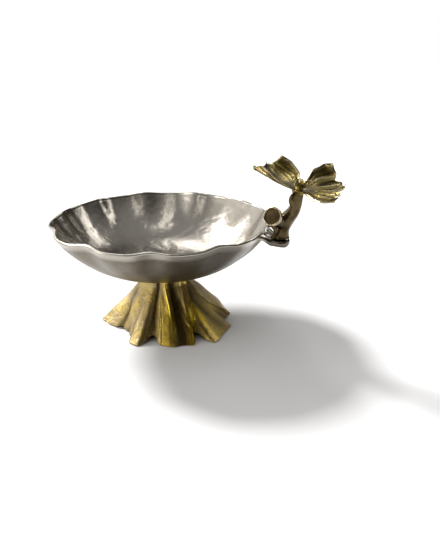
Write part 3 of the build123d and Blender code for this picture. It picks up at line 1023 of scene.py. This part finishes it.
    def build(self) -> None:
        """The foot as one piece, its ridges, valleys, polish and painted sheen marked."""
        draft = MeshDraft()
        rings = []
        near = round(self.near_turn * self.columns / 360.0)
        wide = round(self.wide_turn * self.columns / 360.0)
        for radii, heights, seen in self.rows():
            ring, polish, groove, rich = [], [], [], []
            for column, (radius, height) in enumerate(zip(radii, heights)):
                angle = 360.0 * column / self.columns
                turn = math.radians(angle)
                ring.append((radius * math.cos(turn), radius * math.sin(turn), height))
                close = radii[column - near] + radii[(column + near) % self.columns]
                far = radii[column - wide] + radii[(column + wide) % self.columns]
                proud = (radius - close / 2.0) * 1.1 + (radius - far / 2.0) * 0.3
                left = self.way_down(height)
                looks = (0.0, self.hidden_groove, min(1.0, self.richness(angle, left)))
                if seen:
                    looks = self.marks(angle, left, proud)
                for values, look in zip((polish, groove, rich), looks):
                    values.append(look)
            rings.append(draft.add_ring(ring, polish=polish, groove=groove, rich=rich))
        for first, second in zip(rings, rings[1:] + rings[:1]):
            draft.bridge(first, second)
        piece = draft.build("foot_skirt", 55.0)
        dress(piece, GoldPlate().material(), ["foot"])


# Branch


@dataclass(frozen=True)
class Section:
    """A cross-section of a bar: the middle's place and the radius, in millimetres."""

    x: float
    y: float
    z: float
    radius: float


def between_stations(values: Sequence, where: float) -> object:
    """Number or vector on the smooth curve through others.

    Args:
        values: The stations' values.
        where: Station asked for; a fraction lies between two stations.

    Returns:
        The value there.
    """
    index = min(int(where), len(values) - 2)
    t = where - index
    a = values[max(0, index - 1)]
    b = values[index]
    c = values[index + 1]
    d = values[min(len(values) - 1, index + 2)]
    return 0.5 * (
        2.0 * b + (c - a) * t + (2.0 * a - 5.0 * b + 4.0 * c - d) * t * t
        + (3.0 * b - a - 3.0 * c + d) * t * t * t
    )


def tube(
    sections: Sequence[Section], name: str, sides: int, steps: int, first: Vector | None = None
) -> bpy.types.Object:
    """Bar with a bark-like skin through sections, smooth between them, closed at both ends.

    Args:
        sections: The sections in order.
        name: The object's name.
        sides: Points round each ring.
        steps: Rings between two sections.
        first: Direction of the bar where it starts, when it has to be exact.

    Returns:
        The bar.
    """
    line = [Vector((section.x, section.y, section.z)) for section in sections]
    widths = [section.radius for section in sections]
    count = (len(sections) - 1) * steps
    centres = [between_stations(line, index / steps) for index in range(count + 1)]
    radii = [between_stations(widths, index / steps) for index in range(count + 1)]
    draft = MeshDraft()
    rings = []
    side = Vector((0.0, 1.0, 0.0))
    for index, centre in enumerate(centres):
        run = centres[min(count, index + 1)] - centres[max(0, index - 1)]
        if index == 0 and first is not None:
            run = first
        run.normalize()
        side = (side - run * side.dot(run)).normalized()
        other = run.cross(side)
        ring = []
        for turn in around(sides):
            bark = 1.0 + 0.05 * math.sin(3.0 * turn + index * 0.08)
            bark += 0.035 * math.sin(7.0 * turn - index * 0.05)
            offset = side * math.cos(turn) + other * math.sin(turn)
            ring.append(tuple(centre + offset * radii[index] * bark))
        rings.append(draft.add_ring(ring))
    draft.skin(rings)
    return draft.build(name, 60.0)


@dataclass
class Branch:
    """Trunk, sawn side stub, root spur and sepal, melted into one casting.

    The stub's swell is a share of its length and a radius; its rim is a lift and an inset.
    """

    voxel: float = 0.42
    soften_factor: float = 0.5
    soften_steps: int = 5
    trunk: tuple[Section, ...] = (
        Section(125.5, 0.0, 106.9, 7.5),
        Section(125.6, 0.0, 110.0, 6.7),
        Section(126.4, 0.0, 115.5, 6.4),
        Section(128.2, 0.0, 121.0, 6.9),
        Section(131.2, 0.0, 126.5, 6.6),
        Section(135.2, 0.0, 132.5, 5.8),
        Section(137.9, 0.0, 139.5, 5.2),
        Section(139.0, 0.0, 146.0, 5.0),
        Section(139.3, 0.0, 149.6, 5.3),
    )
    spur: tuple[Section, ...] = (
        Section(115.8, -11.5, 121.6, 1.2),
        Section(118.6, -11.3, 121.2, 1.7),
        Section(121.2, -10.4, 119.0, 1.9),
        Section(122.4, -9.2, 115.2, 1.9),
        Section(120.8, -7.8, 111.4, 2.2),
        Section(119.4, -6.4, 107.4, 2.6),
    )
    sepal: tuple[Section, ...] = (
        Section(137.0, -3.4, 136.5, 1.2),
        Section(135.6, -4.6, 140.6, 2.2),
        Section(135.0, -4.8, 145.4, 2.7),
        Section(136.4, -4.0, 150.2, 1.8),
    )
    stub_root: Point = (128.5, 0.0, 119.5)
    stub_end: Point = (120.5, -14.5, 130.5)
    stub_normal: Point = (-0.15, -0.95, 0.27)
    stub_radius: float = 9.3
    stub_sides: int = 64
    stub_swell: tuple[tuple[float, float], ...] = (
        (0.0, 5.8), (0.25, 5.7), (0.5, 6.0), (0.7, 6.9), (0.85, 8.1), (0.95, 8.9), (1.0, 9.1),
    )
    stub_rim: tuple[tuple[float, float], ...] = (
        (0.5, 0.25), (0.85, 0.9), (0.75, 1.5), (-0.2, 2.1), (-0.35, 3.4), (-0.1, 6.0),
    )
    face_radius: float = 6.6
    rim_start: float = 7.2
    edge_width: float = 1.2
    ring_pitch: float = 3.1
    foot_span: tuple[float, float] = (106.5, 110.5)

    def stub(self) -> bpy.types.Object:
        """Side stub that swells to a sawn face with a raised rim."""
        root = Vector(self.stub_root)
        end = Vector(self.stub_end)
        normal = Vector(self.stub_normal).normalized()
        run = (end - root).normalized()
        side = normal.cross(Vector((0, 0, 1))).normalized()
        stations = [(share, radius, 0.0) for share, radius in self.stub_swell]
        stations += [(1.0, self.stub_radius - inset, lift) for lift, inset in self.stub_rim]
        draft = MeshDraft()
        rings = []
        for share, radius, lift in stations:
            facing = (run * (1.0 - share) + normal * share).normalized()
            centre = root + (end - root) * share + normal * lift
            across = (side - facing * side.dot(facing)).normalized()
            up = facing.cross(across)
            ring = []
            for turn in around(self.stub_sides):
                uneven = 1.0 + 0.03 * math.sin(2.0 * turn + 0.6) + 0.015 * math.sin(7.0 * turn)
                offset = across * math.cos(turn) + up * math.sin(turn)
                ring.append(tuple(centre + offset * radius * uneven))
            rings.append(draft.add_ring(ring))
        draft.skin(rings)
        return draft.build("stub", 60.0)

    def build(self) -> None:
        """The branch as one piece, its bars melted together by a remesh."""
        bars = [
            tube(self.trunk, "trunk", 56, 12, Vector((0, 0, 1))),
            tube(self.spur, "spur", 24, 6),
            tube(self.sepal, "sepal", 20, 6),
            self.stub(),
        ]
        piece = join_pieces("branch_casting", bars, 180.0)
        remesh = piece.modifiers.new("melt", "REMESH")
        remesh.mode = "VOXEL"
        remesh.voxel_size = self.voxel * MM
        remesh.use_smooth_shade = True
        soften = piece.modifiers.new("soften", "SMOOTH")
        soften.factor = self.soften_factor
        soften.iterations = self.soften_steps
        apply_modifiers(piece)
        self.mark_grooves(piece)
        dress(piece, AntiqueBrass().material(), ["branch"])

    def mark_grooves(self, piece: bpy.types.Object) -> None:
        """Mark the sawn face, brown with its rings, the trunk darker to its foot, and the face's rim.
        """
        end = Vector(self.stub_end)
        normal = Vector(self.stub_normal).normalized()
        grooves, rims = [], []
        for vertex in piece.data.vertices:
            place = vertex.co / MM
            lift = (place - end).dot(normal)
            flat = ((place - end) - normal * lift).length
            face = ease(lift, -1.2, -0.4)
            face *= 1.0 - ease(flat, self.face_radius, self.face_radius + self.edge_width)
            growth = 0.5 + 0.5 * math.sin(flat * self.ring_pitch)
            # Darker towards the trunk's lowest few millimetres, where it meets the lug.
            foot = 0.7 * (1.0 - ease(place.z, *self.foot_span))
            grooves.append(min(1.0, face * (0.45 + 0.25 * growth) + foot))
            rim = ease(flat, self.rim_start, self.rim_start + self.edge_width)
            rims.append(rim * ease(lift, -2.0, -0.8))
        for name, values in (("groove", grooves), ("rim", rims)):
            piece.data.attributes.new(name, "FLOAT", "POINT").data.foreach_set("value", values)


# Flower


@dataclass(frozen=True)
class PetalShape:
    """One petal: where it points and how it is cupped, ribbed and rolled.

    Its turn is in degrees and its sizes in millimetres, widest being a half width. It rises
    to its tip, curls up at both sides, twists from one side to the other, and its margins
    roll up on the left and on the right. It widens up to its shoulder and tapers from there.
    """

    node: str
    turn: float
    length: float
    widest: float
    rise: float
    curl: float
    seed: float
    twist: float
    ribs: float
    rib_height: float
    roll: tuple[float, float]
    shoulder: float = 0.66
    taper: float = 0.36


@dataclass
class Flower:
    """Four petals round a calyx, with a cluster of curled stamens on a low dome.

    The calyx's profile gives radii and heights over the petals' root.
    """

    x: float = 140.0
    z: float = 154.0
    tilt: float = 12.0
    thickness: float = 1.5
    tip_thinning: float = 0.25
    petal_rows: int = 96
    petal_columns: int = 88
    petal_start: float = 3.0
    root_half: float = 3.4
    root_height: float = 0.2
    notch_side: float = 0.12
    notch_depth: float = 3.6
    notch_slope: float = 3.4
    corner_depth: float = 3.2
    streak_height: float = 0.10
    streak_pitch: float = 23.0
    wave_height: float = 0.3
    tip_lift: float = 0.5
    margin_bead: float = 0.32
    calyx_sides: int = 48
    calyx_lobes: float = 0.05
    calyx_profile: tuple[tuple[float, float], ...] = (
        (4.6, -5.0), (5.1, -4.2), (5.6, -3.0), (6.4, -1.9), (7.4, -1.0), (7.9, -0.5), (8.0, 0.1),
        (7.7, 0.5), (6.0, 0.35), (3.9, 0.05), (3.6, 0.4), (3.6, 3.0), (3.2, 3.4),
    )
    hub_height: float = 3.4
    hub_radius: float = 5.2
    dome_rise: float = 2.4
    dome_rows: int = 9
    dome_sides: int = 40
    grain_gap: float = 0.62
    grain_radius: float = 0.36
    stamen_count: int = 9
    stamen_ring: float = 2.5
    stamen_radius: float = 0.72
    stamen_foot: float = 1.2
    petals: tuple[PetalShape, ...] = (
        PetalShape(
            "petal_back_left", 149.0, 44.0, 19.0, 9.0, 5.0, 1.0, -1.5, 0.6, 0.35, (0.0, 2.6), 0.5, 0.5
        ),
        PetalShape("petal_left", 215.0, 45.0, 13.5, 14.5, 1.5, 2.0, 3.2, 1.6, 0.6, (0.3, 0.5)),
        PetalShape("petal_back_right", 56.0, 48.5, 18.0, 7.5, 6.0, 3.0, 6.0, 1.5, 1.0, (1.6, 0.6)),
        PetalShape(
            "petal_front_right", -6.0, 37.0, 17.0, 5.0, -1.0, 4.0, 2.0, 1.7, 1.0, (0.4, -1.2)
        ),
    )

    def placing(self, turn: float = 0.0) -> Matrix:
        """Matrix from a petal's own frame, X outward, to the object's, in millimetres."""
        tilt = math.radians(self.tilt)
        normal = Vector((math.sin(tilt), 0.0, math.cos(tilt)))
        ahead = Vector((math.cos(math.radians(turn)), math.sin(math.radians(turn)), 0.0))
        ahead = (ahead - normal * ahead.dot(normal)).normalized()
        left = normal.cross(ahead)
        matrix = Matrix((ahead, left, normal)).transposed().to_4x4()
        matrix.translation = Vector((self.x, 0.0, self.z))
        return matrix

    def half_width(self, share: float, shape: PetalShape) -> float:
        """Half width of a petal at a share of its length."""
        half = self.root_half
        half += (shape.widest - self.root_half) * smooth_step(share / shape.shoulder)
        return half * (1.0 - shape.taper * ease(share, shape.shoulder + 0.14, 1.0) ** 1.5)

    def petal_skin(self, shape: PetalShape, share: float, side: float) -> tuple[float, float, float]:
        """Height of a petal's upper face, its grooves, painted shade, wear and painted highlight.

        Args:
            shape: The petal.
            share: Place along its length, 0 at the calyx and 1 at the tip.
            side: Place across it, from -1 to 1.

        Returns:
            The height in millimetres, the groove's depth with painted shade near the root, and the
            crest's wear with its painted highlight, each from 0 to 1.
        """
        sway = side + 0.10 * math.sin(share * 4.0 + shape.seed)
        wave = math.cos(2.0 * math.pi * shape.ribs * sway + shape.seed * 0.9)
        fan = 1.0 - 2.0 * (0.5 - 0.5 * wave) ** 0.75
        spread = ease(share, 0.12, 0.57) * (1.0 - 0.6 * abs(side) ** 3)
        height = self.root_height + shape.rise * share**1.35 + shape.curl * share * side * side
        height += shape.twist * share * side + shape.rib_height * spread * fan
        streaks = math.sin(
            side * self.streak_pitch + shape.seed + 0.9 * math.sin(share * 6.0 + side * 2.0)
        )
        height += self.streak_height * streaks * ease(share, 0.15, 0.55)
        waves = ripple(share * 9.0, side * 3.0, share * 4.0, shape.seed)
        height += self.wave_height * waves * abs(side) ** 2
        roll = shape.roll[0] if side > 0.0 else shape.roll[1]
        roll *= ease(abs(side), 0.74, 1.0) * smooth_step(share * 2.2)
        height += roll * (1.0 + 0.3 * math.sin(share * 8.0 + shape.seed))
        height += self.tip_lift * ease(share, 0.86, 1.0) * (1.0 + math.sin(side * 8.0 + shape.seed))
        deep = 0.85 * ease(-fan, 0.05, 0.85) * spread
        fine = ease(-streaks, 0.2, 1.1) * smooth_step(share * 3.0) * (0.3 + 0.3 * share)
        # Painted shade: darker towards the petal's root in the flower's middle.
        centre = 0.85 * ease(-share, -0.42, -0.17)
        # Wear and painted highlight: the rib crests of the strongly ribbed petals made lighter.
        wear_and_highlight = 0.75 * ease(fan, 0.35, 0.95) * spread * ease(shape.rib_height, 0.5, 1.0)
        return height, min(1.0, deep + fine + centre), wear_and_highlight * (1.0 - centre)

    def reach(self, shape: PetalShape, share: float, side: float) -> float:
        """Length of a petal along a line across from its middle, notched and nicked at its tip."""
        beside = abs(side - self.notch_side) * self.notch_slope
        notch = self.notch_depth * max(0.0, 1.0 - beside) ** 0.8
        nicks = 0.8 * math.sin(side * 9.0 + shape.seed * 2.0) + 0.4 * math.sin(side * 19.0)
        corner = self.corner_depth * abs(side) ** 7
        return shape.length - (notch + nicks * (1.0 - side * side) + corner) * ease(share, 0.55, 1.0)

    def petal(self, shape: PetalShape) -> bpy.types.Object:
        """One petal, ribbed and streaked, with a thick rolled margin and a notched tip.

        Args:
            shape: The petal.

        Returns:
            The blade, its grooves, painted shade, places of wear and painted highlights marked.
        """
        draft = MeshDraft()
        matrix = self.placing(shape.turn)
        top_rows: list[list[int]] = []
        low_rows: list[list[int]] = []
        for row in range(self.petal_rows + 1):
            share = row / self.petal_rows
            thin = self.thickness * (1.0 - self.tip_thinning * share)
            top, low, grooves, rims = [], [], [], []
            for column in range(self.petal_columns + 1):
                side = 2.0 * column / self.petal_columns - 1.0
                x = self.petal_start + (self.reach(shape, share, side) - self.petal_start) * share
                wander = math.sin(share * 17.0 + shape.seed * 5.0 + (1.7 if side > 0 else 0.0))
                y = self.half_width(share, shape) * side * (1.0 + 0.04 * wander * abs(side))
                height, groove, wear_and_highlight = self.petal_skin(shape, share, side)
                margin = max(ease(abs(side), 0.86, 0.94), ease(share, 0.94, 0.98))
                rims.append(max(wear_and_highlight, margin * smooth_step(share * 2.0)))
                grooves.append(groove)
                edge = max(abs(side) ** 10, ease(share, 0.97, 1.0) * 0.8)
                bead = self.margin_bead * margin * (1.0 - edge)
                upper = height + bead - 0.28 * thin * edge
                lower = height - bead - thin * (1.0 - 0.28 * edge)
                top.append(tuple(matrix @ Vector((x, y, upper))))
                low.append(tuple(matrix @ Vector((x, y, lower))))
            top_rows.append(draft.add_ring(top, groove=grooves, rim=rims))
            # Painted shade: the petal's underside halfway towards the groove colour.
            low_rows.append(draft.add_ring(low, groove=0.5, rim=0.0))
        strips = [*zip(top_rows, top_rows[1:]), *zip(low_rows[1:], low_rows)]
        strips.append(([row[0] for row in low_rows], [row[0] for row in top_rows]))
        strips.append(([row[-1] for row in top_rows], [row[-1] for row in low_rows]))
        strips.append((top_rows[-1], low_rows[-1]))
        strips.append((low_rows[0], top_rows[0]))
        for first, second in strips:
            draft.bridge(first, second, closed=False)
        return draft.build(shape.node + "_blade", 50.0)

    def calyx(self) -> bpy.types.Object:
        """Cup under the petals, turned and slightly lobed."""
        draft = MeshDraft()
        matrix = self.placing()
        rings = []
        for radius, height in self.calyx_profile:
            ring = []
            for turn in around(self.calyx_sides):
                lobe = self.calyx_lobes * (math.cos(4.0 * turn) - 1.0) * ease(radius, 5.0, 8.0)
                out = radius * (1.0 + lobe)
                place = Vector((out * math.cos(turn), out * math.sin(turn), height))
                ring.append(tuple(matrix @ place))
            # Painted shade: the cup under the petals a little darker, towards the groove colour.
            rings.append(draft.add_ring(ring, groove=0.3))
        draft.skin(rings)
        return draft.build("calyx_cup", 50.0)

    def dome(self, metal: bpy.types.Material) -> bpy.types.Object:
        """Low dome in the middle, its top strewn with cast grains.

        Args:
            metal: Material of dome and grains.

        Returns:
            The dome.
        """
        draft = MeshDraft()
        rings = []
        for row in range(self.dome_rows):
            rise = math.radians(90.0 * row / (self.dome_rows - 0.5))
            radius = self.hub_radius * math.cos(rise)
            height = self.hub_height + self.dome_rise * math.sin(rise)
            ring = [
                (radius * math.cos(turn), radius * math.sin(turn), height)
                for turn in around(self.dome_sides)
            ]
            # Painted shade: the dome in the flower's middle much darker, towards the groove colour.
            rings.append(draft.add_ring(ring, groove=0.7))
        draft.skin(rings)

        growth = Growth("dome_grains")
        skin = growth.ask("Dome", "Geometry")
        gap = growth.ask("Smallest gap", "Float", self.grain_gap * MM)
        size = growth.ask("Grain radius", "Float", self.grain_radius * MM)
        seed = growth.ask("Seed", "Int", 11)
        inlay = growth.ask("Metal", "Material", metal)
        place = growth.node("GeometryNodeInputPosition", {}, {})
        high = growth.along(place, (0.0, 0.0, 1.0)).above((self.hub_height + 0.5) * MM)
        spots = growth.node(
            "GeometryNodeDistributePointsOnFaces",
            {"distribute_method": "POISSON"},
            {"Mesh": skin, "Selection": high, "Distance Min": gap, "Density Max": 3.0e6, "Seed": seed},
            "Points",
        )
        ball = {"Radius": size, "Subdivisions": 2}
        grain = growth.node("GeometryNodeMeshIcoSphere", {}, ball, "Mesh")
        wide = growth.chance(0.7, 1.25, seed, 1)
        strewn = growth.node(
            "GeometryNodeInstanceOnPoints", {}, {"Points": spots, "Instance": grain, "Scale": wide}
        )
        start = draft.mesh("stamen_seat", 60.0)
        mesh = growth.grow("stamen_dome_grained", start, growth.join(skin, strewn), inlay)
        return self.set_middle(mesh, "stamen_dome_grained")

    def stamens(self, metal: bpy.types.Material) -> bpy.types.Object:
        """Ring of curled stamens that lean outwards and end in knobs.

        Args:
            metal: Material of the pins.

        Returns:
            The pins.
        """
        growth = Growth("stamen_ring")
        count = growth.ask("Count", "Int", self.stamen_count)
        ring = growth.ask("Ring radius", "Float", self.stamen_ring * MM)
        thick = growth.ask("Pin radius", "Float", self.stamen_radius * MM)
        seed = growth.ask("Seed", "Int", 4)
        inlay = growth.ask("Metal", "Material", metal)
        curve = growth.node(
            "GeometryNodeCurvePrimitiveBezierSegment",
            {"mode": "POSITION"},
            {
                "Resolution": 30,
                "Start": (0.0, 0.0, 0.0),
                "Start Handle": (0.4 * MM, 0.0, 5.4 * MM),
                "End Handle": (4.6 * MM, 1.2 * MM, 8.2 * MM),
                "End": (5.2 * MM, 1.6 * MM, 2.9 * MM),
            },
            "Curve",
        )
        share = growth.node("GeometryNodeSplineParameter", {}, {}, "Factor")
        knob = 0.85 * share.between(0.74, 0.88) * (1.0 - share.between(0.92, 1.04))
        width = 1.0 - 0.28 * share + knob
        round_bar = {"Resolution": 16, 4: thick}
        profile = growth.node(
            "GeometryNodeCurvePrimitiveCircle", {"mode": "RADIUS"}, round_bar, "Curve"
        )
        pin = growth.node(
            "GeometryNodeCurveToMesh",
            {},
            {"Curve": curve, "Profile Curve": profile, "Scale": width, "Fill Caps": True},
            "Mesh",
        )
        circle = {"Vertices": count, "Radius": ring}
        points = growth.node("GeometryNodeMeshCircle", {}, circle, "Mesh")
        index = growth.node("GeometryNodeInputIndex", {}, {})
        turn = index * (2.0 * math.pi / count) + growth.chance(-0.3, 0.3, seed, 0)
        lean = growth.chance(-0.25, 0.35, seed, 1)
        tip = growth.chance(-0.2, 0.2, seed, 2)
        rotation = growth.node("ShaderNodeCombineXYZ", {}, (tip, lean, turn))
        scale = growth.chance(0.72, 1.05, seed, 3)
        pins = growth.node(
            "GeometryNodeInstanceOnPoints",
            {},
            {"Points": points, "Instance": pin, "Rotation": rotation, "Scale": scale},
        )
        mesh = growth.grow("stamen_ring", bpy.data.meshes.new("stamen_start"), pins, inlay)
        mesh.transform(Matrix.Translation((0.0, 0.0, (self.hub_height + self.stamen_foot) * MM)))
        return self.set_middle(mesh, "stamen_ring")

    def set_middle(self, mesh: bpy.types.Mesh, name: str) -> bpy.types.Object:
        """Set a piece of the flower's middle in its place.

        Args:
            mesh: The piece in the flower's own frame, in metres.
            name: The piece's name.

        Returns:
            The piece.
        """
        matrix = self.placing()
        matrix.translation *= MM
        mesh.transform(matrix)
        clean_mesh(mesh, 60.0)
        return place_object(mesh, name)

    def build(self) -> None:
        """All pieces of the flower, dressed."""
        finish = AntiqueBrass(
            name="flower_brass", bright=(0.44, 0.34, 0.105), deep=(0.15, 0.105, 0.024),
            groove=(0.018, 0.012, 0.004), wear_and_highlight=(0.60, 0.51, 0.30), roughness=0.16, lumps=0.5,
        ).material()
        for shape in self.petals:
            dress(self.petal(shape), finish, [shape.node])
        dress(self.calyx(), finish, ["calyx"])
        dress(self.dome(finish), finish, ["stamen_dome"])
        dress(self.stamens(finish), finish, ["stamens"])


class Fastener(Enum):
    """The hidden fasteners, which keep their solids."""

    FOOT_SCREW = "foot_screw"
    FOOT_WASHER = "foot_washer"
    FOOT_SPRING_WASHER = "foot_spring_washer"
    BRANCH_SCREW = "branch_screw"
    BRANCH_PIN = "branch_pin"
    FLOWER_SCREW = "flower_screw"


def dress_fasteners() -> None:
    """Give the hidden fasteners their steel."""
    steel = PlainSteel().material()
    for fastener in Fastener:
        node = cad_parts[fastener.value]
        if node.material_slots:
            for slot in node.material_slots:
                slot.material = steel
        else:
            node.data.materials.append(steel)
        LOG.info("%s: steel", fastener.value)


# Studio


@dataclass(frozen=True)
class Lamp:
    """A soft rectangular light that faces the bowl."""

    name: str
    place: Point
    width: float
    height: float
    power: float
    tint: Colour = (1.0, 1.0, 1.0)


@dataclass(frozen=True)
class Sun:
    """A broad sun, given by where it stands."""

    azimuth: float = 160.0
    elevation: float = 40.0
    spread: float = 13.0
    power: float = 4.0


@dataclass
class Studio:
    """Floor, light and camera."""

    view_place: Point = (0.2695, -0.4978, 0.2750)
    view_turn: float = 22.5
    view_fall: float = 21.8
    lens: float = 37.77
    sensor: float = 36.0
    clip_start: float = 0.01
    floor_half: float = 9.0
    floor_tones: tuple[Colour, Colour] = ((0.86, 0.86, 0.86), (0.88, 0.88, 0.88))
    aim: Point = (0.0, 0.0, 0.09)
    sun: Sun = field(default_factory=Sun)
    lamps: tuple[Lamp, ...] = (
        Lamp("left_box", (-0.85, -0.75, 0.45), 0.45, 0.9, 2.6, (1.0, 0.98, 0.95)),
        Lamp("back_strip", (0.35, 0.85, 0.80), 0.9, 0.14, 1.8),
        Lamp("back_left_strip", (-0.62, 0.80, 0.88), 0.20, 0.8, 2.4),
        Lamp("top_strip", (0.05, -0.25, 1.10), 0.12, 0.9, 0.9, (1.0, 0.99, 0.97)),
    )
    left_way: Point = (-0.94, -0.34, 0.0)
    dark_tone: Colour = (0.06, 0.052, 0.042)
    left_tone: Colour = (1.35, 1.33, 1.30)
    high_tone: Colour = (0.45, 0.45, 0.46)
    seen_tone: Colour = (1.0, 1.0, 1.0)

    def floor(self) -> None:
        """Pale floor."""
        mesh = bpy.data.meshes.new("floor")
        half = self.floor_half
        corners = [(-half, -half, 0), (half, -half, 0), (half, half, 0), (-half, half, 0)]
        mesh.from_pydata(corners, [], [(0, 1, 2, 3)])
        shader = Shader("pale_floor")
        shader.feed("Base Color", shader.mix(shader.noise(3.0, 2.0, 0.5), *self.floor_tones))
        shader.feed("Roughness", 0.95)
        shader.feed("Specular IOR Level", 0.1)
        mesh.materials.append(shader.material)
        place_object(mesh, "floor")

    def lights(self) -> None:
        """Broad sun from the back left and soft boxes that draw lines on the metal."""
        turn, rise = math.radians(self.sun.azimuth), math.radians(self.sun.elevation)
        source = Vector(
            (math.cos(turn) * math.cos(rise), math.sin(turn) * math.cos(rise), math.sin(rise))
        )
        light = bpy.data.lights.new("sun", "SUN")
        light.energy = self.sun.power
        light.angle = math.radians(self.sun.spread)
        self.hang(light, source, -source)
        for lamp in self.lamps:
            light = bpy.data.lights.new(lamp.name, "AREA")
            light.shape = "RECTANGLE"
            light.size, light.size_y = lamp.width, lamp.height
            light.energy = lamp.power
            light.color = lamp.tint
            self.hang(light, Vector(lamp.place), Vector(self.aim) - Vector(lamp.place))

    def hang(self, light: bpy.types.Light, place: Vector, way: Vector) -> None:
        """Put a light at a place, shining one way."""
        holder = place_object(light, light.name)
        holder.location = place
        holder.rotation_euler = way.to_track_quat("-Z", "Y").to_euler()

    def surround(self) -> None:
        """Surround that is bright on the left, dark elsewhere, and white where it is seen."""
        world = bpy.data.worlds.new("surround")
        world.use_nodes = True
        sheet = NodeSheet(world.node_tree)
        way = sheet.node("ShaderNodeTexCoord", {}, {}, "Generated")
        left = sheet.along(way, self.left_way).between(0.0, 0.85)
        high = sheet.along(way, (0.0, 0.0, 1.0)).between(0.55, 0.95)
        seen = sheet.node("ShaderNodeLightPath", {}, {}, "Is Camera Ray")
        tone = sheet.mix(left, self.dark_tone, self.left_tone)
        tone = sheet.mix(high, tone, self.high_tone)
        tone = sheet.mix(seen, tone, self.seen_tone)
        sheet.fill(world.node_tree.nodes["Background"].inputs["Color"], tone)
        bpy.context.scene.world = world

    def camera(self) -> None:
        """Camera at the photograph's place and angle, its colours shown as they are."""
        data = bpy.data.cameras.new("view")
        data.sensor_width = self.sensor
        data.lens = self.lens
        data.clip_start = self.clip_start
        holder = place_object(data, "view")
        holder.location = self.view_place
        holder.rotation_euler = (
            math.radians(90.0 - self.view_fall), 0.0, math.radians(self.view_turn)
        )
        bpy.context.scene.camera = holder
        bpy.context.scene.view_settings.view_transform = "Standard"

    def build(self) -> None:
        """Everything round the object."""
        self.floor()
        self.lights()
        self.surround()
        self.camera()


def main() -> None:
    """Build the object, then the studio round it."""
    logging.basicConfig(level=logging.INFO, format="%(message)s")
    Bowl().build()
    Foot().build()
    Branch().build()
    Flower().build()
    dress_fasteners()
    Studio().build()


if __name__ == "__main__":
    main()
